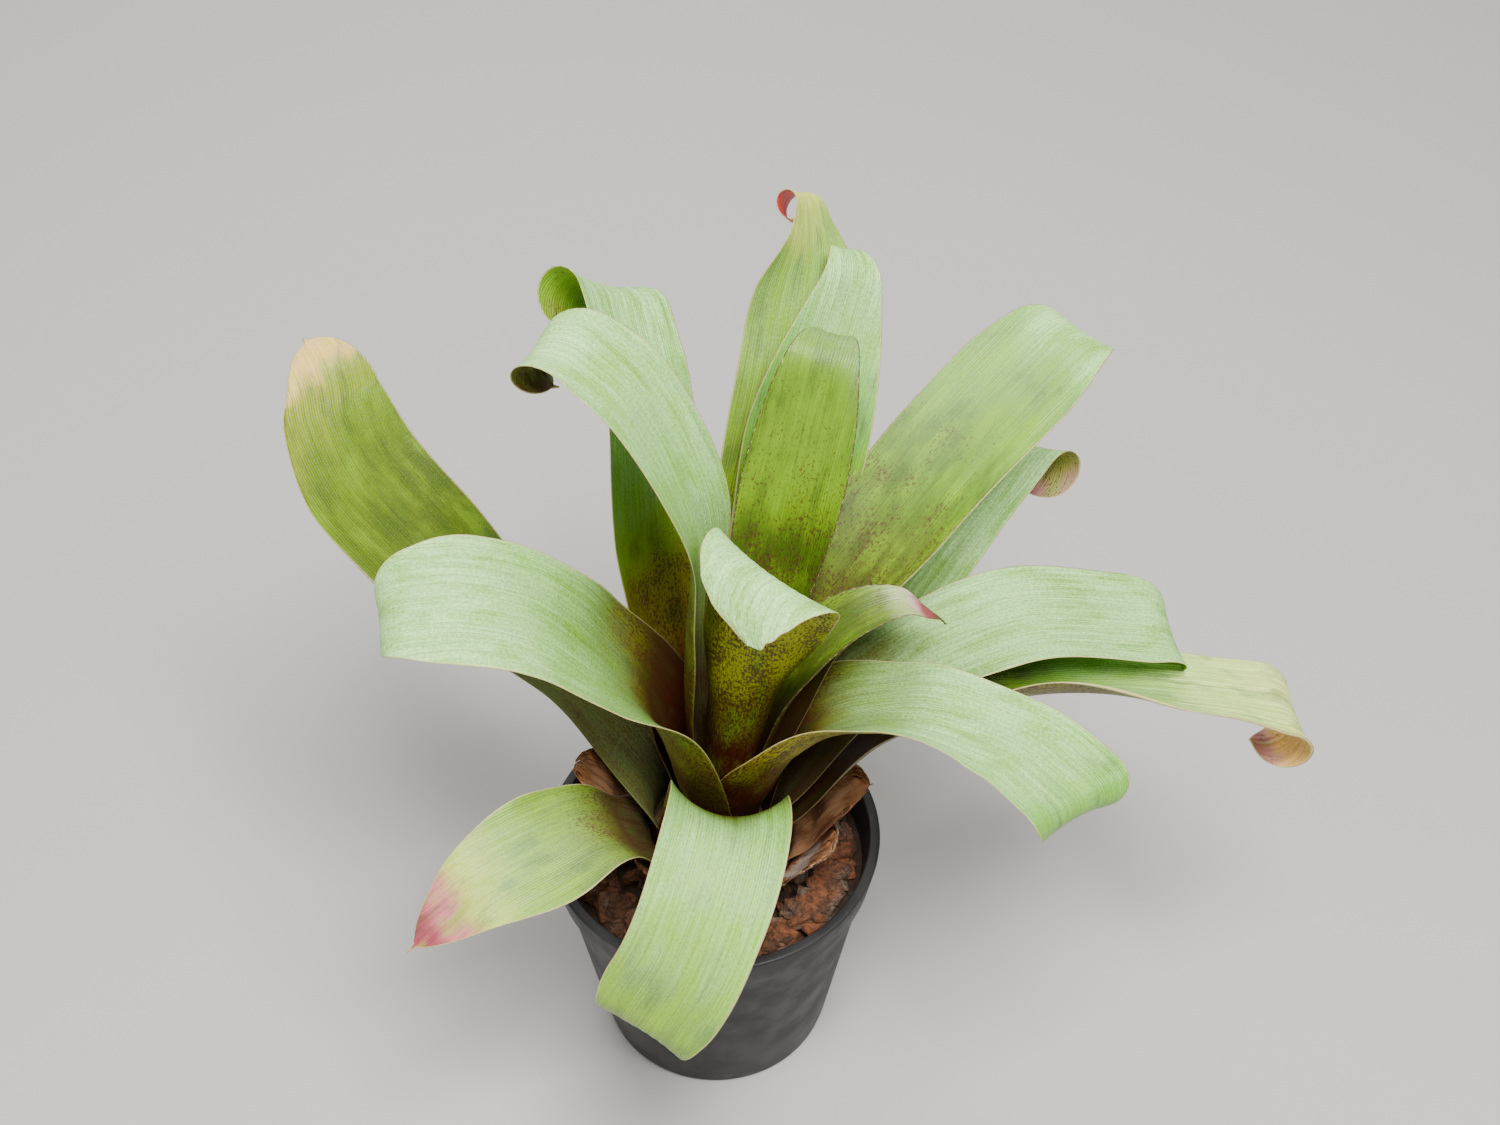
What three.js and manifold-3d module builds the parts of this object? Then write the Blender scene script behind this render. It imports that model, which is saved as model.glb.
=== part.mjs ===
import * as THREE from 'three';
import { mergeVertices } from 'three/addons/utils/BufferGeometryUtils.js';
import Module from 'manifold-3d';

const wasm = await Module();
wasm.setup();

// A potted Vriesea saundersii. The origin is the centre of the pot's underside.
// Seen from the front, +X is right, +Y is away and +Z is up.

// Pot
const POT_HEIGHT = 92;
const POT_RIM_RADIUS = 55;
const POT_FOOT_RADIUS = 39;
const POT_WALL = 1.8;
const POT_FLOOR = 2.4;
const RIM_BAND = 13;
const RIM_STEP = 1.7;
const FOOT_BEVEL = 2;
const DRAIN_COUNT = 6;
const DRAIN_RADIUS = 3.5;
const DRAIN_CIRCLE = 27;
const POT_SIDES = 48;

// Growing mix of coarse bark
const MIX_LEVEL = 80.5;
const CHIP_RELIEF = 1.2;
const CHIP_SIZE = 11;
const MIX_SIDES = 36;
const MIX_RINGS = 7;

// Crown: the short stem and everything that grows from it leans to the right as one
const COLLAR = 84;
const LEAN = THREE.MathUtils.degToRad(7);
const CLEARANCE = 0.3;
const LEAF_CLEARANCE = 0.25;
const STEM_TOP = 26;
const STEM_TOP_RADIUS = 4.5;
const STEM_SEAT_DROP = 0.6;
const STEM_SHOULDER = 8;
const STEM_WAIST_RADIUS = 12;
const STEM_FOOT_RADIUS = 7;
const STEM_SIDES = 30;
const ROOT_DEPTH = 26;
const ROOT_COUNT = 5;
const ROOT_LENGTH = 24;
const ROOT_RADIUS = 1.8;

// Leaf sheaths are nested like rings, one step out and one step down the stem for each leaf
const SHEATH_PITCH = 1.25;
const LEAF_THICKNESS = 0.7;
const SHEATH_ARC = 12;
const SHEATH_ARC_PER_RADIUS = 2.4;
const SHEATH_ARC_MAX = 46;
const SHEATH_RISE = 12;
const SHEATH_FLARE = 0.5;
const SHEATH_WRAP = 42;
const NECK = 0.82;
const NECK_AT = 0.28;
const WIDEST_AT = 0.65;
const TIP_FROM = 0.78;
const TIP_POWER = 1.8;
const TIP_WIDTH = 2;
const ACROSS = 8;
const ALONG = 12;
const CURL_STEP = 36;

// Leaves from the heart outwards. Angles are in degrees, anticlockwise from +X as seen from above.
// spine: [out, up, side] from the collar, side is to the left when looking outwards.
// curl: the tip rolls under with these first and last radii and this turn.
// channel: [share of length, half of the angle that the cross-section bends through].
// twist: [share of length, turn about the spine]. wrap: length of leaf that hugs the stem's axis.
// lean: [share of length, how far the blade is drawn to the left of its spine].
const LEAVES = [
  {
    name: 'leaf_heart', azimuth: -92, width: 43, sheath: 22, neck: 1, wrap: 60, tipFrom: 0.8,
    lean: [[0.8, 0], [0.9, -2.7], [0.94, -1.6], [0.97, 0.7], [1, 6]],
    spine: [[8, 50], [9, 90], [10, 122, 0], [14, 141, 2]],
    curl: [4, 16, 158],
    channel: [[0.3, 85], [0.55, 55], [0.75, 22], [0.85, 10], [1, 8]],
    twist: [[0.3, 0], [0.78, -31]],
  },
  {
    name: 'leaf_small_pointed', azimuth: 12, width: 28, sheath: 24, neck: 0.74, wrap: 60, tipFrom: 0.6,
    tipPower: 1.2,
    spine: [[10, 50], [17, 84], [31, 105], [45, 112], [55, 107]],
    curl: [20, 16, 20],
    channel: [[0.3, 80], [0.6, 60], [1, 20]],
  },
  {
    name: 'leaf_inner_upright', azimuth: 75, width: 33, sheath: 24, neck: 0.76, wrap: 60,
    tipFrom: 0.68, tipPower: 1.7,
    spine: [[12, 50], [16, 72], [22.5, 92], [33, 133], [46, 169]],
    curl: [10, 8, 150],
    channel: [[0.3, 60], [0.7, 30], [1, 5]],
  },
  {
    name: 'leaf_left_upright', azimuth: 160, width: 36, sheath: 28, neck: 0.76, wrap: 60,
    spine: [[13.5, 50], [17.5, 76], [19.5, 100], [21, 133], [31, 157], [46, 178], [60, 187]],
    curl: [12, 5, 220],
    channel: [[0.25, 75], [0.5, 35], [1, 12]],
  },
  {
    name: 'leaf_right_broad', azimuth: 43, width: 42, wrap: 60,
    spine: [[13.3, 40], [16, 52], [20.5, 66], [30, 84], [46, 104], [71, 128], [96, 145], [119, 158]],
    curl: [16, 10, 120],
    channel: [[0.3, 70], [0.55, 25], [1, 8]],
  },
  {
    name: 'leaf_right_front', azimuth: -18, width: 41, neck: 1.4, wrap: 70, tipFrom: 0.9,
    spine: [[15.3, 40], [18.5, 54], [23.5, 66], [35, 80], [54, 91],
      [74, 93, 0], [88, 95, -4], [103, 97, -14]],
    curl: [5, 5, 190],
    channel: [[0.36, 85], [0.52, 45], [0.75, 15], [1, 10]],
    twist: [[0.1, 0], [0.35, -30], [0.65, -7], [0.92, -8]],
  },
  {
    name: 'leaf_left_front', azimuth: 190, width: 43, neck: 1.28, wrap: 62,
    spine: [[17, 40], [20.5, 52], [25.5, 65], [33, 78], [46, 94], [65, 114], [85, 122], [100, 122]],
    curl: [9, 10, 120],
    channel: [[0.3, 80], [0.5, 35], [0.7, 15], [1, 10]],
    twist: [[0.1, 0], [0.3, 12], [0.6, -15]],
  },
  {
    name: 'leaf_left_back', azimuth: 133, width: 40, wrap: 50, tipFrom: 0.88, tipPower: 2,
    spine: [[19, 40], [25, 50], [38, 76], [47, 104], [54, 134, 0],
      [61, 158, -1], [70, 169, -4], [79, 174, -8]],
    curl: [8, 7, 250],
    channel: [[0.25, 50], [0.5, 36], [1, 12]],
    twist: [[0.45, 0], [0.8, 14]],
  },
  {
    name: 'leaf_back_broad', azimuth: 77, width: 40, wrap: 50, tipFrom: 0.62, tipPower: 1.5,
    spine: [[21, 40], [28, 52], [43, 78], [55, 103], [69, 136, 0], [90, 170, -2]],
    curl: [10, 8, 140],
    channel: [[0.3, 45], [0.6, 20], [1, 8]],
    twist: [[0.6, 0], [0.95, 36]],
  },
  {
    name: 'leaf_right_level', azimuth: 14, width: 40, wrap: 50, tipFrom: 0.84,
    spine: [[25, 42], [43, 72], [64, 89], [92, 97, 1], [130, 95, -4]],
    curl: [12, 8, 130],
    channel: [[0.3, 45], [0.6, 18], [1, 8]],
  },
  {
    name: 'leaf_back_tall', azimuth: 86, width: 38, tipFrom: 0.78, tipPower: 1.3,
    spine: [[25, 38], [34, 54], [54, 92], [79, 138, -4], [101, 168, -4], [112, 180, -1]],
    curl: [5, 4, 270],
    channel: [[0.3, 45], [0.6, 18], [1, 8]],
    twist: [[0.7, 0], [0.92, 65]],
  },
  {
    name: 'leaf_right_low', azimuth: 3, width: 34, tipFrom: 0.82,
    spine: [[29, 38], [51, 67], [80, 81], [110, 87], [142, 86], [168, 83]],
    curl: [13, 5, 220],
    channel: [[0.3, 60], [0.5, 62], [0.7, 25], [1, 8]],
    twist: [[0.3, 0], [0.5, -25], [0.75, -12], [0.95, 4]],
  },
  {
    name: 'leaf_right_rolled', azimuth: 43, width: 36, tipFrom: 0.88, tipPower: 2,
    spine: [[32, 32], [45, 46], [62, 64], [84, 89], [106, 109], [117, 114, 2]],
    curl: [8, 7, 250],
    channel: [[0.3, 45], [0.6, 25], [1, 8]],
    twist: [[0.45, 0], [0.8, -14]],
  },
  {
    name: 'leaf_left_low', azimuth: 153, width: 43, tipFrom: 0.75, tipPower: 1.9,
    lean: [[0.75, 0], [1, -9]],
    spine: [[30, 30], [45, 40], [62, 50, 1], [86, 64, 4], [107, 80, 6],
      [129, 99, 8], [147, 117, 8], [154, 125, 6]],
    curl: [22, 14, 50],
    channel: [[0.3, 45], [0.6, 20], [1, 8]],
    twist: [[0.4, 0], [0.65, -20]],
  },
  {
    name: 'leaf_front_drooping', azimuth: -94, width: 38, neck: 1.12,
    spine: [[26, 38], [33, 57], [48, 65], [66, 57, -3], [78, 40, -8], [84, 22, -15]],
    curl: [10, 8, 150],
    channel: [[0.3, 60], [0.6, 15], [1, 5]],
  },
  {
    name: 'leaf_left_pink_tipped', azimuth: 213, width: 41, tipFrom: 0.5, tipPower: 1.4,
    spine: [[34, 24], [48, 37], [68, 37], [88, 33], [101, 25]],
    curl: [40, 30, 20],
    channel: [[0.3, 60], [0.5, 25], [0.8, 15], [1, 15]],
    twist: [[0.35, 0], [0.6, -15]],
  },
];

// Dry brown sheaths of lost leaves, outside the living ones, in two rings
const DRY_SHEATHS = [
  { name: 'dry_sheath_left', ring: 1, azimuth: 180, width: 22, spine: [[33, 18], [38, 26], [42, 30]] },
  { name: 'dry_sheath_left_front', ring: 1, azimuth: 236, width: 22, spine: [[31, 14], [35, 20]] },
  { name: 'dry_sheath_front', ring: 1, azimuth: -72, width: 26, spine: [[29, 12], [33, 18]] },
  { name: 'dry_sheath_back', ring: 1, azimuth: 96, width: 40, spine: [[31, 12], [35, 19]] },
  { name: 'dry_sheath_right', ring: 1, azimuth: -4, width: 24, spine: [[31, 18], [35, 27], [40, 35]] },
  { name: 'dry_sheath_right_front', ring: 2, azimuth: -32, width: 28, spine: [[32, 14], [36, 22]] },
];

const DRY_RINGS = 2;
const DRY_ALONG = 5;
const DRY_CURL = [30, 20, 20];
const DRY_CHANNEL = [[0, 40]];
const DRY_WRAP = 30;

// Finishes
const POT_PLASTIC = new THREE.MeshStandardMaterial({ color: 0x1c1d1e, roughness: 0.62, metalness: 0 });
const BARK_MIX = new THREE.MeshStandardMaterial({ color: 0x4a3323, roughness: 0.95, metalness: 0 });
const STEM_TISSUE = new THREE.MeshStandardMaterial({ color: 0x6f5d38, roughness: 0.8, metalness: 0 });
const LEAF_SURFACE = new THREE.MeshStandardMaterial({ color: 0xa9bc93, roughness: 0.6, metalness: 0 });
const DRY_SURFACE = new THREE.MeshStandardMaterial({ color: 0x8a5f35, roughness: 0.85, metalness: 0 });

// A smooth step from 0 at a to 1 at b
function ease(a, b, x) {
  return THREE.MathUtils.smoothstep(x, a, b);
}

// Value at x of a row of [x, value] knots, eased from each to the next
function knotValue(knots, x) {
  const next = knots.findIndex((knot) => x < knot[0]);
  if (next === 0) return knots[0][1];
  if (next === -1) return knots[knots.length - 1][1];
  const [x0, v0] = knots[next - 1];
  const [x1, v1] = knots[next];
  return v0 + (v1 - v0) * ease(x0, x1, x);
}

// Closed solid from two matching grids of points, one for each face, joined round their edges
function sheetSolid(faceA, faceB) {
  const rows = faceA.length;
  const columns = faceA[0].length;
  const positions = [...faceA.flat(), ...faceB.flat()].flatMap((p) => [p.x, p.y, p.z]);
  const front = (i, j) => i * columns + j;
  const back = (i, j) => (rows + i) * columns + j;
  const index = [];
  const quad = (a, b, c, d) => index.push(a, b, c, a, c, d);
  for (let i = 0; i < rows - 1; i++) {
    for (let j = 0; j < columns - 1; j++) {
      quad(front(i, j), front(i, j + 1), front(i + 1, j + 1), front(i + 1, j));
      index.push(back(i, j), back(i + 1, j + 1), back(i, j + 1));
      index.push(back(i, j), back(i + 1, j), back(i + 1, j + 1));
    }
  }
  const rim = [];
  for (let j = 0; j < columns - 1; j++) rim.push([0, j]);
  for (let i = 0; i < rows - 1; i++) rim.push([i, columns - 1]);
  for (let j = columns - 1; j > 0; j--) rim.push([rows - 1, j]);
  for (let i = rows - 1; i > 0; i--) rim.push([i, 0]);
  rim.forEach(([i, j], k) => {
    const [m, n] = rim[(k + 1) % rim.length];
    quad(front(i, j), back(i, j), back(m, n), front(m, n));
  });
  return facingOut(positions, index);
}

// Geometry whose triangles are turned so that its enclosed volume is positive
function facingOut(positions, index) {
  let volume = 0;
  const corner = (k) => new THREE.Vector3().fromArray(positions, index[k] * 3);
  for (let k = 0; k < index.length; k += 3) volume += corner(k).dot(corner(k + 1).cross(corner(k + 2)));
  if (volume < 0) index.reverse();
  const geometry = new THREE.BufferGeometry();
  geometry.setAttribute('position', new THREE.Float32BufferAttribute(positions, 3));
  geometry.setIndex(index);
  return geometry;
}

function toManifold(geometry) {
  const bare = geometry.clone();
  bare.deleteAttribute('normal');
  bare.deleteAttribute('uv');
  const merged = mergeVertices(bare, 1e-4);
  return new wasm.Manifold(new wasm.Mesh({
    numProp: 3,
    vertProperties: new Float32Array(merged.attributes.position.array),
    triVerts: new Uint32Array(merged.index.array),
  }));
}

function toGeometry(manifold) {
  const mesh = manifold.getMesh();
  const geometry = new THREE.BufferGeometry();
  geometry.setAttribute('position', new THREE.Float32BufferAttribute(mesh.vertProperties, 3));
  geometry.setIndex(Array.from(mesh.triVerts));
  return geometry;
}

// The largest of the loose bodies that a cut leaves
function largestBody(manifold) {
  return manifold.decompose().reduce((best, body) => (body.volume() > best.volume() ? body : best));
}

// A profile of [radius, height] points turned about +Z
function turned(profile, sides) {
  const geometry = new THREE.LatheGeometry(profile.map(([r, h]) => new THREE.Vector2(r, h)), sides);
  geometry.rotateX(Math.PI / 2);
  return geometry;
}

// Spine points of a leaf above its seat, as out, side and up
function spinePoints(leaf, layer) {
  const radius = STEM_TOP_RADIUS + SHEATH_PITCH * layer;
  const seat = STEM_TOP - SHEATH_PITCH * layer;
  const rise = Math.min(SHEATH_RISE, (leaf.spine[0][1] - seat) / 2);
  const base = [[radius, seat], [radius + SHEATH_FLARE, seat + rise]];
  return [...base, ...leaf.spine].map(([out, up, side = 0]) => new THREE.Vector3(out, side, up));
}

// Stations along a leaf: place, tangent, direction across and upper-face normal, with the length so far
function leafStations(leaf, layer, along, curlStep) {
  const curve = new THREE.CatmullRomCurve3(spinePoints(leaf, layer), false, 'catmullrom', 0.5);
  curve.arcLengthDivisions = 400;
  const spineLength = curve.getLength();
  const [firstRadius, lastRadius, turnDegrees] = leaf.curl;
  const turn = THREE.MathUtils.degToRad(turnDegrees);
  const length = spineLength + (turn * (firstRadius + lastRadius)) / 2;
  const twistAt = (run) => THREE.MathUtils.degToRad(leaf.twist ? knotValue(leaf.twist, run / length) : 0);
  const stations = [];
  let across = new THREE.Vector3(0, 1, 0);
  for (let i = 0; i <= along; i++) {
    const tangent = curve.getTangentAt(i / along);
    across = across.addScaledVector(tangent, -across.dot(tangent)).normalize();
    const run = (spineLength * i) / along;
    const side = across.clone().applyAxisAngle(tangent, twistAt(run));
    stations.push({ point: curve.getPointAt(i / along), tangent, side, run });
  }
  const { point: end, tangent: ahead, side } = stations[along];
  const up = ahead.clone().cross(side);
  const steps = Math.ceil(turnDegrees / curlStep);
  const fine = 12;
  const point = end.clone();
  let run = spineLength;
  for (let i = 1; i <= steps * fine; i++) {
    const angle = (turn * (i - 0.5)) / (steps * fine);
    const radius = firstRadius + ((lastRadius - firstRadius) * angle) / turn;
    const stride = (radius * turn) / (steps * fine);
    point.addScaledVector(ahead, Math.cos(angle) * stride).addScaledVector(up, -Math.sin(angle) * stride);
    run += stride;
    if (i % fine === 0) {
      const tangent = ahead.clone().applyAxisAngle(side, (turn * i) / (steps * fine));
      stations.push({ point: point.clone(), tangent, side: side.clone(), run });
    }
  }
  return { stations, length };
}

// Width of a leaf: full at the sheath, drawn in at the neck, widest in the blade, closed at the tip
function leafWidth(leaf, layer, share) {
  const radius = STEM_TOP_RADIUS + SHEATH_PITCH * layer;
  const sheath = leaf.sheath ?? Math.min(SHEATH_ARC + SHEATH_ARC_PER_RADIUS * radius, SHEATH_ARC_MAX);
  const { neck = NECK, tipFrom = TIP_FROM, tipPower = TIP_POWER } = leaf;
  const body = knotValue([[0, sheath], [NECK_AT, leaf.width * neck], [WIDEST_AT, leaf.width]], share);
  const tip = Math.max((share - tipFrom) / (1 - tipFrom), 0);
  return Math.max(body * Math.max(1 - tip ** tipPower, 0) ** (1 / tipPower), TIP_WIDTH);
}

// Middle surface of a leaf as rows of points, from the sheath to the tip
function leafSurface(leaf, layer, along, curlStep) {
  const { stations, length } = leafStations(leaf, layer, along, curlStep);
  const azimuth = THREE.MathUtils.degToRad(leaf.azimuth);
  const wrap = leaf.wrap ?? SHEATH_WRAP;
  return stations.map(({ point, tangent, side, run }) => {
    const share = run / length;
    const width = leafWidth(leaf, layer, share);
    const bend = 2 * THREE.MathUtils.degToRad(knotValue(leaf.channel, share));
    const curvature = bend / Math.max(width, leaf.width / 2);
    const normal = tangent.clone().cross(side);
    const freed = ease(0.45 * wrap, 1.5 * wrap, run);
    const lean = leaf.lean ? knotValue(leaf.lean, share) : 0;
    return Array.from({ length: ACROSS + 1 }, (_, j) => {
      const offset = (j / ACROSS - 0.5) * width + lean;
      const angle = curvature * offset;
      const ribbon = point.clone()
        .addScaledVector(side, Math.sin(angle) / curvature)
        .addScaledVector(normal, (1 - Math.cos(angle)) / curvature);
      const about = offset / point.x;
      const ring = new THREE.Vector3(point.x * Math.cos(about), point.x * Math.sin(about) + point.y, point.z);
      return ring.lerp(ribbon, freed).applyAxisAngle(new THREE.Vector3(0, 0, 1), azimuth);
    });
  });
}

// Normal of a grid of points at one place
function gridNormal(rows, i, j) {
  const along = rows[Math.min(i + 1, rows.length - 1)][j].clone().sub(rows[Math.max(i - 1, 0)][j]);
  const columns = rows[i].length;
  const across = rows[i][Math.min(j + 1, columns - 1)].clone().sub(rows[i][Math.max(j - 1, 0)]);
  return along.cross(across).normalize();
}

// Closed blade of even thickness round a middle surface
function blade(rows, thickness) {
  const face = (distance) => rows.map((row, i) => row.map((point, j) => (
    point.clone().addScaledVector(gridNormal(rows, i, j), distance))));
  return sheetSolid(face(thickness / 2), face(-thickness / 2));
}

// Pot: a tapered tub with a thicker band under its rim and holes in its floor
function potGeometry() {
  const slope = (POT_RIM_RADIUS - RIM_STEP - POT_FOOT_RADIUS) / POT_HEIGHT;
  const outside = (z) => POT_FOOT_RADIUS + slope * z;
  const bandFoot = POT_HEIGHT - RIM_BAND;
  const tub = toManifold(turned([
    [0, 0],
    [POT_FOOT_RADIUS - FOOT_BEVEL, 0],
    [outside(FOOT_BEVEL), FOOT_BEVEL],
    [outside(bandFoot), bandFoot],
    [outside(bandFoot) + RIM_STEP, bandFoot + 1],
    [POT_RIM_RADIUS, POT_HEIGHT - 1],
    [POT_RIM_RADIUS - 0.8, POT_HEIGHT],
    [outside(POT_HEIGHT) - POT_WALL, POT_HEIGHT],
    [potInside(POT_FLOOR), POT_FLOOR],
    [0, POT_FLOOR],
  ], POT_SIDES));
  const holes = Array.from({ length: DRAIN_COUNT }, (_, k) => {
    const angle = (2 * Math.PI * (k + 0.5)) / DRAIN_COUNT;
    const hole = new THREE.CylinderGeometry(DRAIN_RADIUS, DRAIN_RADIUS, 3 * POT_FLOOR, 16);
    hole.rotateX(Math.PI / 2);
    hole.translate(DRAIN_CIRCLE * Math.cos(angle), DRAIN_CIRCLE * Math.sin(angle), POT_FLOOR / 2);
    return toManifold(hole);
  });
  return toGeometry(holes.reduce((pot, hole) => pot.subtract(hole), tub));
}

// Inside radius of the pot at a height
function potInside(z) {
  const slope = (POT_RIM_RADIUS - RIM_STEP - POT_FOOT_RADIUS) / POT_HEIGHT;
  return POT_FOOT_RADIUS - POT_WALL + slope * z;
}

// Height of the chips above or below the mean surface of the mix
function chipRelief(x, y) {
  const k = (2 * Math.PI) / CHIP_SIZE;
  const broad = Math.sin(k * x + 1.7 * Math.sin(0.43 * k * y)) * Math.cos(0.9 * k * y + 0.8);
  const fine = Math.sin(1.9 * k * (x + 0.6 * y) + 0.5) * Math.sin(1.7 * k * (y - 0.4 * x));
  return CHIP_RELIEF * (0.7 * broad + 0.4 * fine);
}

// Growing mix: a plug that fills the pot, with a rough top
function mixGeometry() {
  const below = POT_FLOOR + CLEARANCE;
  const ring = (radius, height) => Array.from({ length: MIX_SIDES }, (_, k) => {
    const angle = (2 * Math.PI * k) / MIX_SIDES;
    const x = radius * Math.cos(angle);
    const y = radius * Math.sin(angle);
    return [x, y, height ?? MIX_LEVEL + chipRelief(x, y)];
  });
  const top = potInside(MIX_LEVEL - 2 * CHIP_RELIEF) - CLEARANCE;
  const rings = [ring(potInside(below) - 2 * CLEARANCE, below)];
  rings.push(ring(top, MIX_LEVEL - 1.5 * CHIP_RELIEF));
  for (let k = MIX_RINGS; k > 0; k--) rings.push(ring((0.97 * top * k) / MIX_RINGS));
  const positions = [...rings.flat(), [0, 0, MIX_LEVEL + chipRelief(0, 0)], [0, 0, below]].flat();
  const topCentre = rings.length * MIX_SIDES;
  const index = [];
  for (let k = 0; k < MIX_SIDES; k++) {
    const next = (k + 1) % MIX_SIDES;
    for (let r = 0; r < rings.length - 1; r++) {
      const a = r * MIX_SIDES;
      const b = a + MIX_SIDES;
      index.push(a + k, a + next, b + next, a + k, b + next, b + k);
    }
    const last = (rings.length - 1) * MIX_SIDES;
    index.push(last + k, last + next, topCentre, k, topCentre + 1, next);
  }
  return facingOut(positions, index);
}

// Short conical stem whose slope seats the leaf bases, with a few thick roots below
function stemManifold(extra) {
  const spread = SHEATH_PITCH * (LEAVES.length + DRY_RINGS) + 0.5;
  const drop = STEM_SEAT_DROP - extra;
  const foot = STEM_TOP - spread;
  const edge = STEM_TOP_RADIUS + spread;
  const cone = toManifold(turned([
    [0, -ROOT_DEPTH - extra],
    [STEM_FOOT_RADIUS + extra, -ROOT_DEPTH - extra],
    [STEM_WAIST_RADIUS + extra, -ROOT_DEPTH / 2],
    [edge - STEM_SHOULDER + extra, foot - STEM_SHOULDER],
    [edge - 1.5 + extra, foot - 3],
    [edge + extra, foot - drop],
    [STEM_TOP_RADIUS - 1 + extra, STEM_TOP + 1 - drop],
    [0, STEM_TOP + 1 - drop],
  ], STEM_SIDES));
  const roots = Array.from({ length: ROOT_COUNT }, (_, k) => {
    const angle = (2 * Math.PI * (k + 0.3)) / ROOT_COUNT;
    const away = new THREE.Vector3(Math.cos(angle), Math.sin(angle), 0);
    const path = new THREE.QuadraticBezierCurve3(
      away.clone().multiplyScalar(5).setZ(-ROOT_DEPTH / 2),
      away.clone().multiplyScalar(0.7 * ROOT_LENGTH).setZ(-ROOT_DEPTH / 2 - 2),
      away.clone().multiplyScalar(ROOT_LENGTH).setZ(-ROOT_DEPTH - 12),
    );
    const section = new THREE.Shape().absarc(0, 0, ROOT_RADIUS + extra, 0, 2 * Math.PI);
    return toManifold(new THREE.ExtrudeGeometry(section, { steps: 4, curveSegments: 3, extrudePath: path }));
  });
  return roots.reduce((stem, root) => stem.add(root), cone);
}

// Rows of a middle surface drawn out past both margins
function widened(rows, by) {
  const past = (near, edge) => edge.clone().add(edge.clone().sub(near).setLength(by));
  return rows.map((row) => {
    const last = row.length - 1;
    return [past(row[1], row[0]), ...row.slice(1, last), past(row[last - 1], row[last])];
  });
}

// Blade on its layer of the stem, cut clear of the blades inside it, which it then joins
function nestedBlade(leaf, layer, along, inner) {
  const rows = leafSurface(leaf, layer, along, CURL_STEP);
  let solid = toManifold(blade(rows, LEAF_THICKNESS));
  inner.forEach((guard) => { solid = solid.subtract(guard); });
  inner.push(toManifold(blade(widened(rows, LEAF_CLEARANCE), LEAF_THICKNESS + 2 * LEAF_CLEARANCE)));
  return toGeometry(largestBody(solid));
}

function named(name, geometry, material) {
  const mesh = new THREE.Mesh(geometry, material);
  mesh.name = name;
  return mesh;
}

// Assembly
const plant = new THREE.Group();
plant.add(named('pot', potGeometry(), POT_PLASTIC));

const crown = new THREE.Group();
crown.position.set(0, 0, COLLAR);
crown.rotation.y = LEAN;
crown.updateMatrix();

const socket = toGeometry(stemManifold(CLEARANCE)).applyMatrix4(crown.matrix);
const mix = toManifold(mixGeometry()).subtract(toManifold(socket));
plant.add(named('growing_mix', toGeometry(largestBody(mix)), BARK_MIX));

const inner = [];
crown.add(named('stem', toGeometry(stemManifold(0)), STEM_TISSUE));
LEAVES.forEach((leaf, k) => {
  crown.add(named(leaf.name, nestedBlade(leaf, k + 1, ALONG, inner), LEAF_SURFACE));
});
DRY_SHEATHS.forEach((sheath) => {
  const shape = { curl: DRY_CURL, channel: DRY_CHANNEL, wrap: DRY_WRAP, neck: 1, sheath: sheath.width };
  const leaf = { ...shape, ...sheath };
  const geometry = nestedBlade(leaf, LEAVES.length + sheath.ring, DRY_ALONG, inner);
  crown.add(named(sheath.name, geometry, DRY_SURFACE));
});
plant.add(crown);

export default plant;
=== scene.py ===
import math
import random

import bmesh
import bpy
import numpy as np
from mathutils import Euler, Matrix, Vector


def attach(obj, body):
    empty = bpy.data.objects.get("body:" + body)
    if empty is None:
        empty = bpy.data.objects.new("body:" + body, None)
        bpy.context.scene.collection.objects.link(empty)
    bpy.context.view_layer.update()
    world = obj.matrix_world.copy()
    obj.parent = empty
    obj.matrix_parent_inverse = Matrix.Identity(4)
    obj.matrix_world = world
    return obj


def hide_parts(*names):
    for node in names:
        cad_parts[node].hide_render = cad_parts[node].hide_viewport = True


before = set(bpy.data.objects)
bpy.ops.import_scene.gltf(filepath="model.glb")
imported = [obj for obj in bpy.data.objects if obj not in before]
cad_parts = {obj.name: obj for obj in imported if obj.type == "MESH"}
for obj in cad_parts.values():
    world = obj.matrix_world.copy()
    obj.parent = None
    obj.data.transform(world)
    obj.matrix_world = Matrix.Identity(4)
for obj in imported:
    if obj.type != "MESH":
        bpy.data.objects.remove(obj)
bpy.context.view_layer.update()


# Camera: it stands square to the front of the plant and looks down at 45 degrees, from 0.6 m.
# The collar, where the leaves leave the bark, is a little left of the picture's middle and well
# below it.
MM = 0.001
COLLAR = 84
LOOK_AT = Vector((12, 0, COLLAR + 133)) * MM
CAMERA_DISTANCE = 0.600
CAMERA_DROP = math.radians(45)
CAMERA_LENS = 50
SENSOR_WIDTH = 36

camera = bpy.data.objects.new("camera", bpy.data.cameras.new("camera"))
bpy.context.scene.collection.objects.link(camera)
camera.data.lens = CAMERA_LENS
camera.data.sensor_width = SENSOR_WIDTH
camera.location = LOOK_AT + CAMERA_DISTANCE * Vector((0, -math.cos(CAMERA_DROP), math.sin(CAMERA_DROP)))
camera.rotation_euler = Euler((math.pi / 2 - CAMERA_DROP, 0, 0))
bpy.context.scene.camera = camera


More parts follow.
